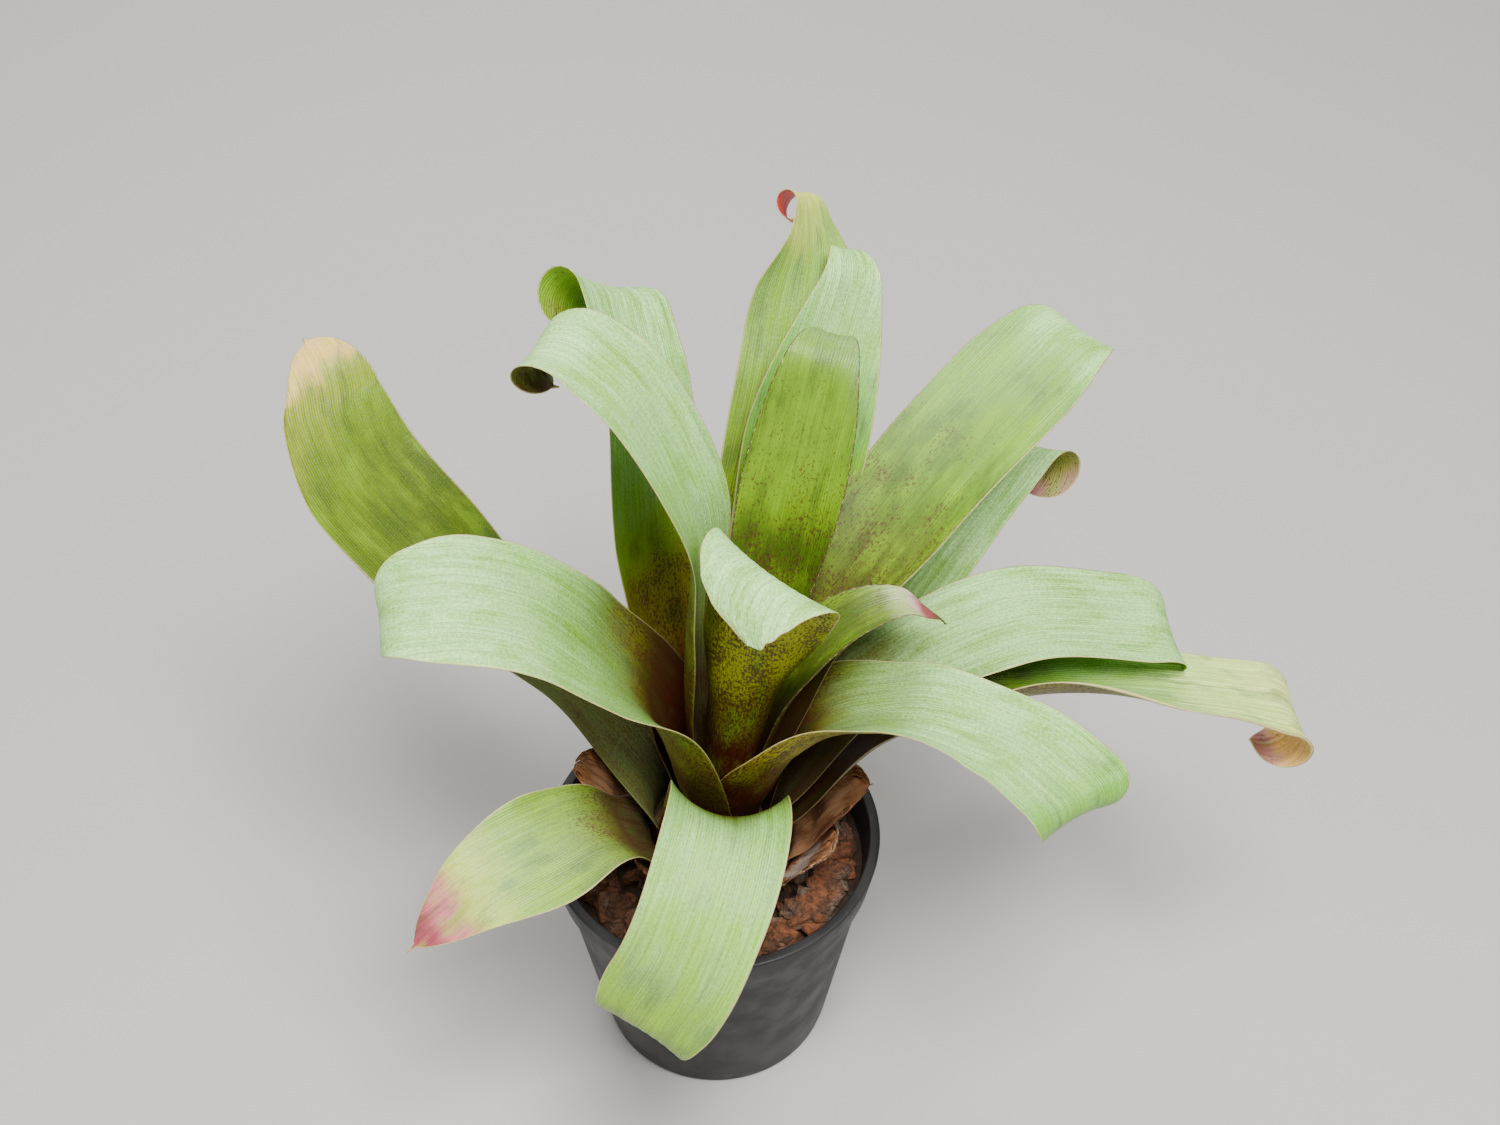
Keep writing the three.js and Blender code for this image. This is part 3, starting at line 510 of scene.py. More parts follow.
# The leaves from the heart outwards. spine is [out, up] or [out, up, aside] from the collar, and
# curl is the first and last radius of the rolled tip and its turn. channel is how far each half of
# the blade bends up, twist its turn about the spine and lean its shift aside, by share of length.
# wrap is about how far up the sheath hugs the crown, slant how far the colours reach further on one
# margin than in the middle, and ridges their height, their pitch and the share where they start.
LEAVES = [
    {
        "name": "leaf_heart", "azimuth": -92, "width": 43, "sheath": 22, "neck": 1, "wrap": 60,
        "tip_from": 0.8,
        "lean": [[0.8, 0], [0.9, -2.7], [0.94, -1.6], [0.97, 0.7], [1, 6]],
        "spine": [[8, 50], [9, 90], [10, 122, 0], [14, 141, 2]],
        "curl": [4, 16, 158],
        "channel": [[0.3, 85], [0.55, 55], [0.75, 22], [0.85, 10], [1, 8]],
        "twist": [[0.3, 0], [0.78, -31]],
        "under": [
            (0.0, THROAT_PIGMENT_AND_SHADE), (0.22, WINE), (0.32, OLIVE), (0.5, (164, 162, 12)), (1.0, (176, 182, 36)),
        ],
        "under_specks": [(0.0, 1.0), (0.5, 1.0), (1.0, 0.85)],
        # Full bloom and past it on the rolled flap: partly real bloom, partly painted highlight.
        "bloom_and_highlight": [(0.3, 0.0), (0.6, 0.6), (0.82, 1.0), (1.0, 1.1)],
        "point": 0.4,
    },
    {
        "name": "leaf_small_pointed", "azimuth": 12, "width": 28, "sheath": 24, "neck": 0.74, "wrap": 60,
        "tip_from": 0.6, "tip_power": 1.2,
        "spine": [[10, 50], [17, 84], [31, 105], [45, 112], [55, 107]],
        "curl": [20, 16, 20],
        "channel": [[0.3, 80], [0.6, 60], [1, 20]],
        "upper": [
            (0.0, THROAT_PIGMENT_AND_SHADE), (0.25, UMBER), (0.5, (78, 94, 22)), (0.8, (92, 112, 26)), (0.87, (190, 190, 140)),
            (0.9, (226, 180, 184)), (0.95, ROSE), (1.0, BERRY),
        ],
        "under": [(0.0, THROAT_PIGMENT_AND_SHADE), (0.3, OLIVE), (0.8, MOSS), (0.93, ROSE), (1.0, BERRY)],
        "bloom_and_highlight": [(0.5, 0.0), (0.8, 0.04), (0.88, 0.25), (0.93, 0.0)],
        "upper_specks": [(0.0, 1.0), (0.5, 0.75), (0.8, 0.6), (0.88, 0.2)],
        "dashes": 1.0,
    },
    {
        "name": "leaf_inner_upright", "azimuth": 75, "width": 33, "sheath": 24, "neck": 0.76, "wrap": 60,
        "tip_from": 0.68, "tip_power": 1.7,
        "spine": [[12, 50], [16, 72], [22.5, 92], [33, 133], [46, 169]],
        "curl": [10, 8, 150],
        "channel": [[0.3, 60], [0.7, 30], [1, 5]],
        "upper": [
            (0.0, THROAT_PIGMENT_AND_SHADE), (0.22, UMBER), (0.36, (66, 76, 20)), (0.52, (76, 102, 16)), (0.66, (118, 156, 6)),
            (0.84, (112, 150, 10)), (0.96, (104, 142, 46)), (1.0, (160, 172, 134)),
        ],
        "bloom_and_highlight": [(0.5, 0.0), (0.8, 0.02), (0.98, 0.22), (1.0, 0.4)],
        "upper_specks": [(0.0, 1.0), (0.5, 0.85), (0.66, 0.66), (0.82, 0.5), (0.9, 0.2)],
        "patches": 0.3,
        "dashes": 1.0,
    },
    {
        "name": "leaf_left_upright", "azimuth": 160, "width": 36, "sheath": 28, "neck": 0.76, "wrap": 60,
        "spine": [[13.5, 50], [17.5, 76], [19.5, 100], [21, 133], [31, 157], [46, 178], [60, 187]],
        "curl": [12, 5, 220],
        "channel": [[0.25, 75], [0.5, 35], [1, 12]],
        "under": [(0.0, THROAT_PIGMENT_AND_SHADE), (0.15, WINE), (0.3, OLIVE), (0.6, MOSS), (0.9, OLIVE), (1.0, UMBER)],
        "bloom_and_highlight": [(0.3, 0.1), (0.5, 0.55), (0.8, 0.75), (0.9, 1.0)],
        "patches": 0.45,
        "dashes": 0.35,
    },
    {
        "name": "leaf_right_broad", "azimuth": 43, "width": 42, "wrap": 60,
        "spine": [[13.3, 40], [16, 52], [20.5, 66], [30, 84], [46, 104], [71, 128], [96, 145], [119, 158]],
        "curl": [16, 10, 120],
        "channel": [[0.3, 70], [0.55, 25], [1, 8]],
        "upper": [
            (0.0, THROAT_PIGMENT_AND_SHADE), (0.22, UMBER), (0.36, (90, 92, 26)), (0.48, (102, 122, 26)),
            (0.62, (108, 148, 20)), (0.8, (118, 168, 30)), (0.9, CELADON), (1.0, BLOOM_AND_HIGHLIGHT),
        ],
        "bloom_and_highlight": [(0.35, 0.0), (0.64, 0.03), (0.82, 0.18), (0.95, 1.0)],
        "upper_specks": [(0.0, 1.0), (0.4, 0.85), (0.52, 0.78), (0.64, 0.6), (0.78, 0.2)],
        "patches": 0.5,
        "dashes": 0.5,
    },
    {
        "name": "leaf_right_front", "azimuth": -18, "width": 41, "neck": 1.4, "wrap": 70, "tip_from": 0.9,
        "spine": [
            [15.3, 40], [18.5, 54], [23.5, 66], [35, 80],
            [54, 91], [74, 93, 0], [88, 95, -4], [103, 97, -14],
        ],
        "curl": [5, 5, 190],
        "channel": [[0.36, 85], [0.52, 45], [0.75, 15], [1, 10]],
        "twist": [[0.1, 0], [0.35, -30], [0.65, -7], [0.92, -8]],
        "under": [
            (0.0, THROAT_PIGMENT_AND_SHADE), (0.18, WINE), (0.26, (140, 118, 22)), (0.5, (164, 160, 24)), (1.0, LEAF_GREEN),
        ],
        "under_specks": [(0.0, 1.0), (0.5, 1.0), (0.8, 0.7)],
        "bloom_and_highlight": [(0.32, 0.0), (0.46, 0.4), (0.62, 0.95), (0.8, 0.8), (0.92, 0.15)],
        "patches": 0.4,
    },
    {
        "name": "leaf_left_front", "azimuth": 190, "width": 43, "neck": 1.28, "wrap": 62,
        "spine": [[17, 40], [20.5, 52], [25.5, 65], [33, 78], [46, 94], [65, 114], [85, 122], [100, 122]],
        "curl": [9, 10, 120],
        "channel": [[0.3, 80], [0.5, 35], [0.7, 15], [1, 10]],
        "twist": [[0.1, 0], [0.3, 12], [0.6, -15]],
        "slant": 0.07,
        "patches": 0.25,
    },
    {
        "name": "leaf_left_back", "azimuth": 133, "width": 40, "wrap": 50, "tip_from": 0.88, "tip_power": 2,
        "spine": [
            [19, 40], [25, 50], [38, 76], [47, 104],
            [54, 134, 0], [61, 158, -1], [70, 169, -4], [79, 174, -8],
        ],
        "curl": [8, 7, 250],
        "channel": [[0.25, 50], [0.5, 36], [1, 12]],
        "twist": [[0.45, 0], [0.8, 14]],
        "upper": [
            (0.0, THROAT_PIGMENT_AND_SHADE), (0.14, WINE), (0.22, (134, 76, 14)), (0.32, (144, 132, 16)),
            (0.46, (124, 158, 20)), (0.6, LEAF_GREEN), (0.7, CELADON), (1.0, CELADON),
        ],
        "under": [(0.0, THROAT_PIGMENT_AND_SHADE), (0.15, WINE), (0.3, OLIVE), (0.7, LIME), (0.92, LIME), (1.0, OLIVE)],
        "bloom_and_highlight": [(0.45, 0.0), (0.6, 0.4), (0.72, 0.8), (1.0, 0.9)],
    },
    {
        "name": "leaf_back_broad", "azimuth": 77, "width": 40, "wrap": 50, "tip_from": 0.62, "tip_power": 1.5,
        "spine": [[21, 40], [28, 52], [43, 78], [55, 103], [69, 136, 0], [90, 170, -2]],
        "curl": [10, 8, 140],
        "channel": [[0.3, 45], [0.6, 20], [1, 8]],
        "twist": [[0.6, 0], [0.95, 36]],
        "bloom_and_highlight": [(0.5, 0.0), (0.68, 0.12), (0.8, 0.55), (0.9, 1.0)],
        "patches": 0.6,
    },
    {
        "name": "leaf_right_level", "azimuth": 14, "width": 40, "wrap": 50, "tip_from": 0.84,
        "spine": [[25, 42], [43, 72], [64, 89], [92, 97, 1], [130, 95, -4]],
        "curl": [12, 8, 130],
        "channel": [[0.3, 45], [0.6, 18], [1, 8]],
        "patches": 0.15,
        "bloom_and_highlight": [(0.3, 0.1), (0.45, 0.6), (0.7, 0.9), (0.9, 0.9), (0.97, 0.4)],
    },
    {
        "name": "leaf_back_tall", "azimuth": 86, "width": 38, "tip_from": 0.78, "tip_power": 1.3,
        "spine": [[25, 38], [34, 54], [54, 92], [79, 138, -4], [101, 168, -4], [112, 180, -1]],
        "curl": [5, 4, 270],
        "channel": [[0.3, 45], [0.6, 18], [1, 8]],
        "twist": [[0.7, 0], [0.92, 65]],
        "upper": [
            (0.0, THROAT_PIGMENT_AND_SHADE), (0.2, WINE), (0.35, OLIVE), (0.5, (116, 146, 12)), (0.66, (124, 158, 22)),
            (0.84, (142, 182, 46)), (0.92, STRAW), (0.97, (226, 110, 40)),
        ],
        "under": [
            (0.0, THROAT_PIGMENT_AND_SHADE), (0.3, OLIVE), (0.7, MOSS),
            (0.9, (240, 130, 36)), (0.94, SCARLET), (1.0, (160, 18, 14)),
        ],
        "under_specks": [(0.0, 1.0), (0.6, 0.6), (0.85, 0.0)],
        "bloom_and_highlight": [(0.4, 0.0), (0.6, 0.1), (0.78, 0.3), (0.9, 0.2)],
        "patches": 0.5,
    },
    {
        "name": "leaf_right_low", "azimuth": 3, "width": 34, "tip_from": 0.82,
        "spine": [[29, 38], [51, 67], [80, 81], [110, 87], [142, 86], [168, 83]],
        "curl": [13, 5, 220],
        "channel": [[0.3, 60], [0.5, 62], [0.7, 25], [1, 8]],
        "twist": [[0.3, 0], [0.5, -25], [0.75, -12], [0.95, 4]],
        "upper": [
            (0.0, THROAT_PIGMENT_AND_SHADE), (0.3, UMBER), (0.46, DEEP_GREEN), (0.56, LEAF_GREEN), (0.66, (176, 214, 104)),
            (0.78, (214, 236, 130)), (0.92, (240, 240, 150)), (1.0, PEACH),
        ],
        "under": [
            (0.0, THROAT_PIGMENT_AND_SHADE), (0.3, OLIVE), (0.6, OLIVE), (0.86, (196, 186, 100)), (0.96, PEACH), (1.0, MAUVE),
        ],
        "bloom_and_highlight": [(0.46, 0.0), (0.6, 0.35), (0.8, 0.25), (0.9, 0.1)],
        "ridges": [0.35, 2.9, 0.6],
        "patches": 0.3,
    },
    {
        "name": "leaf_right_rolled", "azimuth": 43, "width": 36, "tip_from": 0.88, "tip_power": 2,
        "spine": [[32, 32], [45, 46], [62, 64], [84, 89], [106, 109], [117, 114, 2]],
        "curl": [8, 7, 250],
        "channel": [[0.3, 45], [0.6, 25], [1, 8]],
        "twist": [[0.45, 0], [0.8, -14]],
        "under": [
            (0.0, THROAT_PIGMENT_AND_SHADE), (0.3, OLIVE), (0.8, MOSS), (0.88, (150, 150, 60)), (0.96, MAUVE), (1.0, MAUVE),
        ],
        "bloom_and_highlight": [(0.4, 0.2), (0.6, 0.9), (1.0, 1.0)],
    },
    {
        "name": "leaf_left_low", "azimuth": 153, "width": 43, "tip_from": 0.75, "tip_power": 1.9,
        "lean": [[0.75, 0], [1, -9]],
        "spine": [
            [30, 30], [45, 40], [62, 50, 1], [86, 64, 4],
            [107, 80, 6], [129, 99, 8], [147, 117, 8], [154, 125, 6],
        ],
        "curl": [22, 14, 50],
        "channel": [[0.3, 45], [0.6, 20], [1, 8]],
        "twist": [[0.4, 0], [0.65, -20]],
        "upper": [
            (0.0, THROAT_PIGMENT_AND_SHADE), (0.2, OLIVE), (0.5, (70, 92, 18)), (0.62, (84, 106, 8)), (0.82, (106, 134, 2)),
            (0.92, (146, 160, 30)), (0.98, (250, 200, 100)), (1.0, (255, 190, 112)),
        ],
        "bloom_and_highlight": [(0.3, 0.15), (0.5, 0.05), (0.64, 0.0), (0.93, 0.0), (1.0, 0.2)],
        "slant": 0.05,
        "upper_specks": [(0.0, 1.0), (0.5, 0.65), (0.66, 0.4), (0.8, 0.1)],
        "patches": 0.3,
        "dashes": 0.35,
    },
    {
        "name": "leaf_front_drooping", "azimuth": -94, "width": 38, "neck": 1.12,
        "spine": [[26, 38], [33, 57], [48, 65], [66, 57, -3], [78, 40, -8], [84, 22, -15]],
        "curl": [10, 8, 150],
        "channel": [[0.3, 60], [0.6, 15], [1, 5]],
        "upper": [
            (0.0, THROAT_PIGMENT_AND_SHADE), (0.18, WINE), (0.28, UMBER), (0.34, MOSS), (0.42, CELADON), (0.6, (148, 204, 44)),
            (0.78, (128, 172, 24)), (1.0, (132, 144, 28)),
        ],
        "bloom_and_highlight": [(0.3, 0.0), (0.42, 0.45), (0.52, 0.6), (0.7, 0.4), (0.85, 0.15)],
        "upper_specks": [(0.0, 1.0), (0.26, 0.8), (0.34, 0.0)],
        "patches": 0.6,
    },
    {
        "name": "leaf_left_pink_tipped", "azimuth": 213, "width": 41, "tip_from": 0.5, "tip_power": 1.4,
        "spine": [[34, 24], [48, 37], [68, 37], [88, 33], [101, 25]],
        "curl": [40, 30, 20],
        "channel": [[0.3, 60], [0.5, 25], [0.8, 15], [1, 15]],
        "twist": [[0.35, 0], [0.6, -15]],
        "upper": [
            (0.0, THROAT_PIGMENT_AND_SHADE), (0.22, UMBER), (0.3, (100, 98, 14)), (0.42, (112, 140, 30)),
            (0.64, (134, 174, 26)), (0.78, (206, 214, 80)), (0.87, (216, 130, 130)), (0.95, ROSE),
        ],
        "bloom_and_highlight": [(0.35, 0.05), (0.5, 0.12), (0.75, 0.3), (0.88, 0.0)],
        "patches": 0.6,
        "point": 3.5,
    },
]


def eased(low, high, x):
    """How far x is from low to high, from 0 to 1, with a soft start and end."""
    t = np.clip((x - low) / (high - low), 0, 1)
    return t * t * (3 - 2 * t)


def knot_value(knots, x):
    """Value at each x of a row of [x, value] knots, eased from each to the next."""
    x = np.asarray(x, float)
    out = np.full(x.shape, float(knots[-1][1]))
    for (x0, v0), (x1, v1) in zip(knots[-2::-1], knots[:0:-1]):
        out = np.where(x < x1, v0 + (v1 - v0) * eased(x0, x1, x), out)
    return np.where(x < knots[0][0], float(knots[0][1]), out)


def unit(rows):
    return rows / np.linalg.norm(rows, axis=1)[:, None]


def spine_points(leaf, layer):
    """Spine of a leaf as out, side and up, from its seat on the stem."""
    radius = STEM_TOP_RADIUS + SHEATH_PITCH * layer
    seat = STEM_TOP - SHEATH_PITCH * layer
    rise = min(SHEATH_RISE, (leaf["spine"][0][1] - seat) / 2)
    base = [[radius, seat], [radius + SHEATH_FLARE, seat + rise]]
    return np.array([[p[0], p[2] if len(p) > 2 else 0, p[1]] for p in base + leaf["spine"]], float)


def smooth_line(points, count):
    """A smooth line through the points, as evenly spaced places, and its length."""
    padded = np.vstack([2 * points[0] - points[1], points, 2 * points[-1] - points[-2]])
    t = np.linspace(0, 1, CURVE_STEPS, endpoint=False)[:, None]
    line = []
    for a, b, c, d in zip(padded, padded[1:], padded[2:], padded[3:]):
        squared = (2 * a - 5 * b + 4 * c - d) * t**2
        cubed = (3 * b - a - 3 * c + d) * t**3
        line.append(0.5 * (2 * b + (c - a) * t + squared + cubed))
    line = np.vstack(line + [points[-1:]])
    run = np.concatenate([[0], np.cumsum(np.linalg.norm(np.diff(line, axis=0), axis=1))])
    even = np.linspace(0, run[-1], count + 1)
    return np.stack([np.interp(even, run, line[:, k]) for k in range(3)], axis=1), run[-1]


def leaf_stations(leaf, layer):
    """Close-set places along a leaf, each with its run, tangent and direction across."""
    spine, spine_length = smooth_line(spine_points(leaf, layer), STATIONS)
    tangent = unit(np.gradient(spine, axis=0))
    side = np.zeros_like(spine)
    across = np.array([0.0, 1.0, 0.0])
    for i, ahead in enumerate(tangent):
        across = across - ahead * (across @ ahead)
        across /= np.linalg.norm(across)
        side[i] = across
    first, last, turn = leaf["curl"]
    turn = math.radians(turn)
    length = spine_length + turn * (first + last) / 2
    run = np.linspace(0, spine_length, STATIONS + 1)
    twist = np.radians(knot_value(leaf.get("twist", STRAIGHT), run / length))[:, None]
    side = side * np.cos(twist) + np.cross(tangent, side) * np.sin(twist)
    ahead, over = tangent[-1], side[-1]
    up = np.cross(ahead, over)
    extra = 1 + leaf.get("point", LEAF_POINT) / (last * turn)
    angle = np.linspace(0, turn * extra, 2 * STATIONS + 1)[1:]
    stride = angle[1] - angle[0]
    middle = angle - stride / 2
    radius = first + (last - first) * np.minimum(middle / turn, 1)
    step = (np.cos(middle)[:, None] * ahead - np.sin(middle)[:, None] * up) * (radius * stride)[:, None]
    curl = spine[-1] + np.cumsum(step, axis=0)
    curl_tangent = np.cos(angle)[:, None] * ahead - np.sin(angle)[:, None] * up
    return {
        "place": np.vstack([spine, curl]),
        "tangent": np.vstack([tangent, curl_tangent]),
        "side": np.vstack([side, np.tile(over, (len(angle), 1))]),
        "run": np.concatenate([run, spine_length + np.cumsum(radius * stride)]),
        "length": length,
    }


def leaf_width(leaf, layer, share):
    """Full at the sheath, drawn in at the neck, widest in the blade, closed at the tip."""
    radius = STEM_TOP_RADIUS + SHEATH_PITCH * layer
    sheath = leaf.get("sheath", min(SHEATH_ARC + SHEATH_ARC_PER_RADIUS * radius, SHEATH_ARC_MAX))
    neck = leaf["width"] * leaf.get("neck", NECK)
    body = knot_value([[0, sheath], [NECK_AT, neck], [WIDEST_AT, leaf["width"]]], share)
    tip_from, power = leaf.get("tip_from", TIP_FROM), leaf.get("tip_power", TIP_POWER)
    closing = np.clip((share - tip_from) / (1 - tip_from), 0, 1)
    width = np.maximum(body * (1 - closing**power) ** (1 / power), TIP_WIDTH)
    beyond = np.clip((share - 1) / (share[-1] - 1), 0, 1)
    return width * (1 - POINT_TAPER * beyond)


def read_off(line, key, run):
    """One of the directions or places along a leaf, read off at each run."""
    return np.stack([np.interp(run, line["run"], line[key][:, k]) for k in range(3)], axis=1)


def row_shares(line):
    """Where the rows of a leaf lie, by share of its length: closer at the tip, and past it."""
    body = np.linspace(0, 1 - TIP_SHARE, ROWS_TO_TIP, endpoint=False)
    tip = 1 - TIP_SHARE * (1 - np.linspace(0, 1, TIP_ROWS)) ** 2
    point = 1 + (line["run"][-1] / line["length"] - 1) * np.array([0.25, 0.5, 0.75, 1.0])
    return np.concatenate([body, tip, point])


def column_places(half):
    """Where the columns of a leaf lie, from -1 to 1, with two close to each margin."""
    inset = np.minimum(MARGIN_INSET / half, 0.5)[:, None]
    near = 1 - inset * MARGIN_ROLL
    edge = np.ones_like(inset)
    inner = np.linspace(-1, 1, COLUMNS - 4)[None, :] * (1 - inset)
    return np.concatenate([-edge, -near, inner, near, edge], axis=1)


def set_on_collar(points, azimuth):
    """Turns a leaf to its own side of the plant, and leans it with the whole crown."""
    turn = math.radians(azimuth)
    x = points[..., 0] * math.cos(turn) - points[..., 1] * math.sin(turn)
    y = points[..., 0] * math.sin(turn) + points[..., 1] * math.cos(turn)
    z = points[..., 2]
    leant = x * math.cos(LEAN) + z * math.sin(LEAN)
    height = COLLAR - x * math.sin(LEAN) + z * math.cos(LEAN)
    return np.stack([leant, y, height], axis=-1)


def leaf_grid(leaf, layer):
    """Middle surface of a leaf as rows of points, its columns' places, and what its finish reads."""
    line = leaf_stations(leaf, layer)
    share = row_shares(line)
    run = share * line["length"]
    place = read_off(line, "place", run)
    tangent = unit(read_off(line, "tangent", run))
    side = read_off(line, "side", run)
    side = unit(side - tangent * np.sum(side * tangent, axis=1)[:, None])
    normal = np.cross(tangent, side)
    width = leaf_width(leaf, layer, share)
    bend = 2 * np.radians(knot_value(leaf["channel"], share))
    curvature = (bend / np.maximum(width, leaf["width"] / 2))[:, None]
    u = column_places(width / 2)
    offset = u * (width / 2)[:, None]
    aside = offset + knot_value(leaf.get("lean", STRAIGHT), share)[:, None]
    angle = curvature * aside
    ribbon = place[:, None] + side[:, None] * (np.sin(angle) / curvature)[..., None]
    ribbon = ribbon + normal[:, None] * ((1 - np.cos(angle)) / curvature)[..., None]
    out = place[:, :1]
    about = aside / np.maximum(out, 1)
    hugging = [out * np.cos(about), out * np.sin(about) + place[:, 1:2], place[:, 2:] + 0 * about]
    hugging = np.stack(hugging, axis=-1)
    wrap = leaf.get("wrap", SHEATH_WRAP)
    freed = eased(HUG_UNTIL * wrap, FREE_FROM * wrap, run)[:, None, None]
    points = set_on_collar(hugging + (ribbon - hugging) * freed, leaf["azimuth"])
    facts = {
        "share": np.broadcast_to(share[:, None], u.shape),
        "across": offset,
        "along": np.broadcast_to(run[:, None], u.shape),
        "margin": np.abs(offset[:, -1:]) - np.abs(offset),
    }
    return points, u, facts


def grid_normals(points):
    along = np.gradient(points, axis=0)
    across = np.gradient(points, axis=1)
    normal = np.cross(along, across)
    return normal / np.maximum(np.linalg.norm(normal, axis=2), 1e-9)[..., None]


def blade_piece(name, points, relief, thickness, facts, finish):
    """A closed blade of two faces that meet in a thin margin. facts holds what its finish reads."""
    rows, columns = points.shape[:2]
    normal = grid_normals(points)
    upper = points + normal * (relief + thickness / 2)[..., None]
    under = points + normal * (relief - thickness / 2)[..., None]
    inner = slice(1, columns - 1)
    top = np.arange(rows * columns).reshape(rows, columns)
    low = top.copy()
    low[:, inner] = rows * columns + np.arange(rows * (columns - 2)).reshape(rows, columns - 2)
    verts = np.vstack([upper.reshape(-1, 3), under[:, inner].reshape(-1, 3)]) * MM
    faces = np.stack([top[:-1, :-1], top[1:, :-1], top[1:, 1:], top[:-1, 1:]], axis=-1).reshape(-1, 4)
    backs = np.stack([low[:-1, :-1], low[:-1, 1:], low[1:, 1:], low[1:, :-1]], axis=-1).reshape(-1, 4)
    ends = []
    for j in range(columns - 1):
        ends.append([top[0, j], top[0, j + 1], low[0, j + 1], low[0, j]])
        ends.append([top[-1, j], low[-1, j], low[-1, j + 1], top[-1, j + 1]])
    ends = [list(dict.fromkeys(int(v) for v in face)) for face in ends]
    mesh = bpy.data.meshes.new(name)
    mesh.from_pydata(verts.tolist(), [], faces.tolist() + backs.tolist() + ends)
    mesh.polygons.foreach_set("use_smooth", [True] * len(mesh.polygons))
    face_mark = np.ones((rows, columns))
    face_mark[:, [0, -1]] = 0
    sides = {key: (values, values) for key, values in facts.items()}
    sides["face"] = (face_mark, -face_mark)
    for key, (above, below) in sides.items():
        values = np.concatenate([above.reshape(-1), below[:, inner].reshape(-1)])
        layer = mesh.attributes.new("leaf_" + key, "FLOAT", "POINT")
        layer.data.foreach_set("value", values.astype(np.float32))
    mesh.materials.append(finish)
    piece = bpy.data.objects.new(name, mesh)
    bpy.context.scene.collection.objects.link(piece)
    return piece


def ramp(tree, factor, stops):
    """A row of (share, colour) or (share, amount) stops, each eased into the next. All the marks are
    placed before one is coloured, because they are sorted as they move."""
    node = wire(tree, "ValToRGB", {"Fac": factor})
    marks = node.color_ramp
    marks.interpolation = "EASE"
    while len(marks.elements) < len(stops):
        marks.elements.new(0.5)
    for mark, (place, _) in zip(marks.elements, stops):
        mark.position = place
    for mark, (_, value) in zip(marks.elements, stops):
        mark.color = shade(*value) if isinstance(value, tuple) else [value, value, value, 1]
    return node.outputs["Color"]


def read(tree, key):
    return wire(tree, "Attribute", {}, attribute_name="leaf_" + key).outputs["Fac"]


def leaf_flat(tree, across, along, seed):
    """The leaf laid flat, with so many features to the millimetre across it and along it."""
    x = times(tree, read(tree, "across"), across)
    y = times(tree, read(tree, "along"), along)
    z = added(tree, times(tree, read(tree, "face"), 3.0), seed)
    return wire(tree, "CombineXYZ", {0: x, 1: y, 2: z}).outputs[0]


def speckled(tree, density, seed):
    """Share of the surface that fine irregular specks cover, for a density from 0 to 1."""
    fine = noise(tree, leaf_flat(tree, 1.25, 0.72, seed + 13), 1, 3, 0.74)
    loose = noise(tree, leaf_flat(tree, 0.14, 0.08, seed + 17), 1, 2)
    level = added(tree, fine, times(tree, added(tree, loose, -0.5), 0.3))
    level = added(tree, level, times(tree, added(tree, density, -1.0), 0.26))
    return between(tree, level, 0.47, 0.53, 0.0, 0.88)


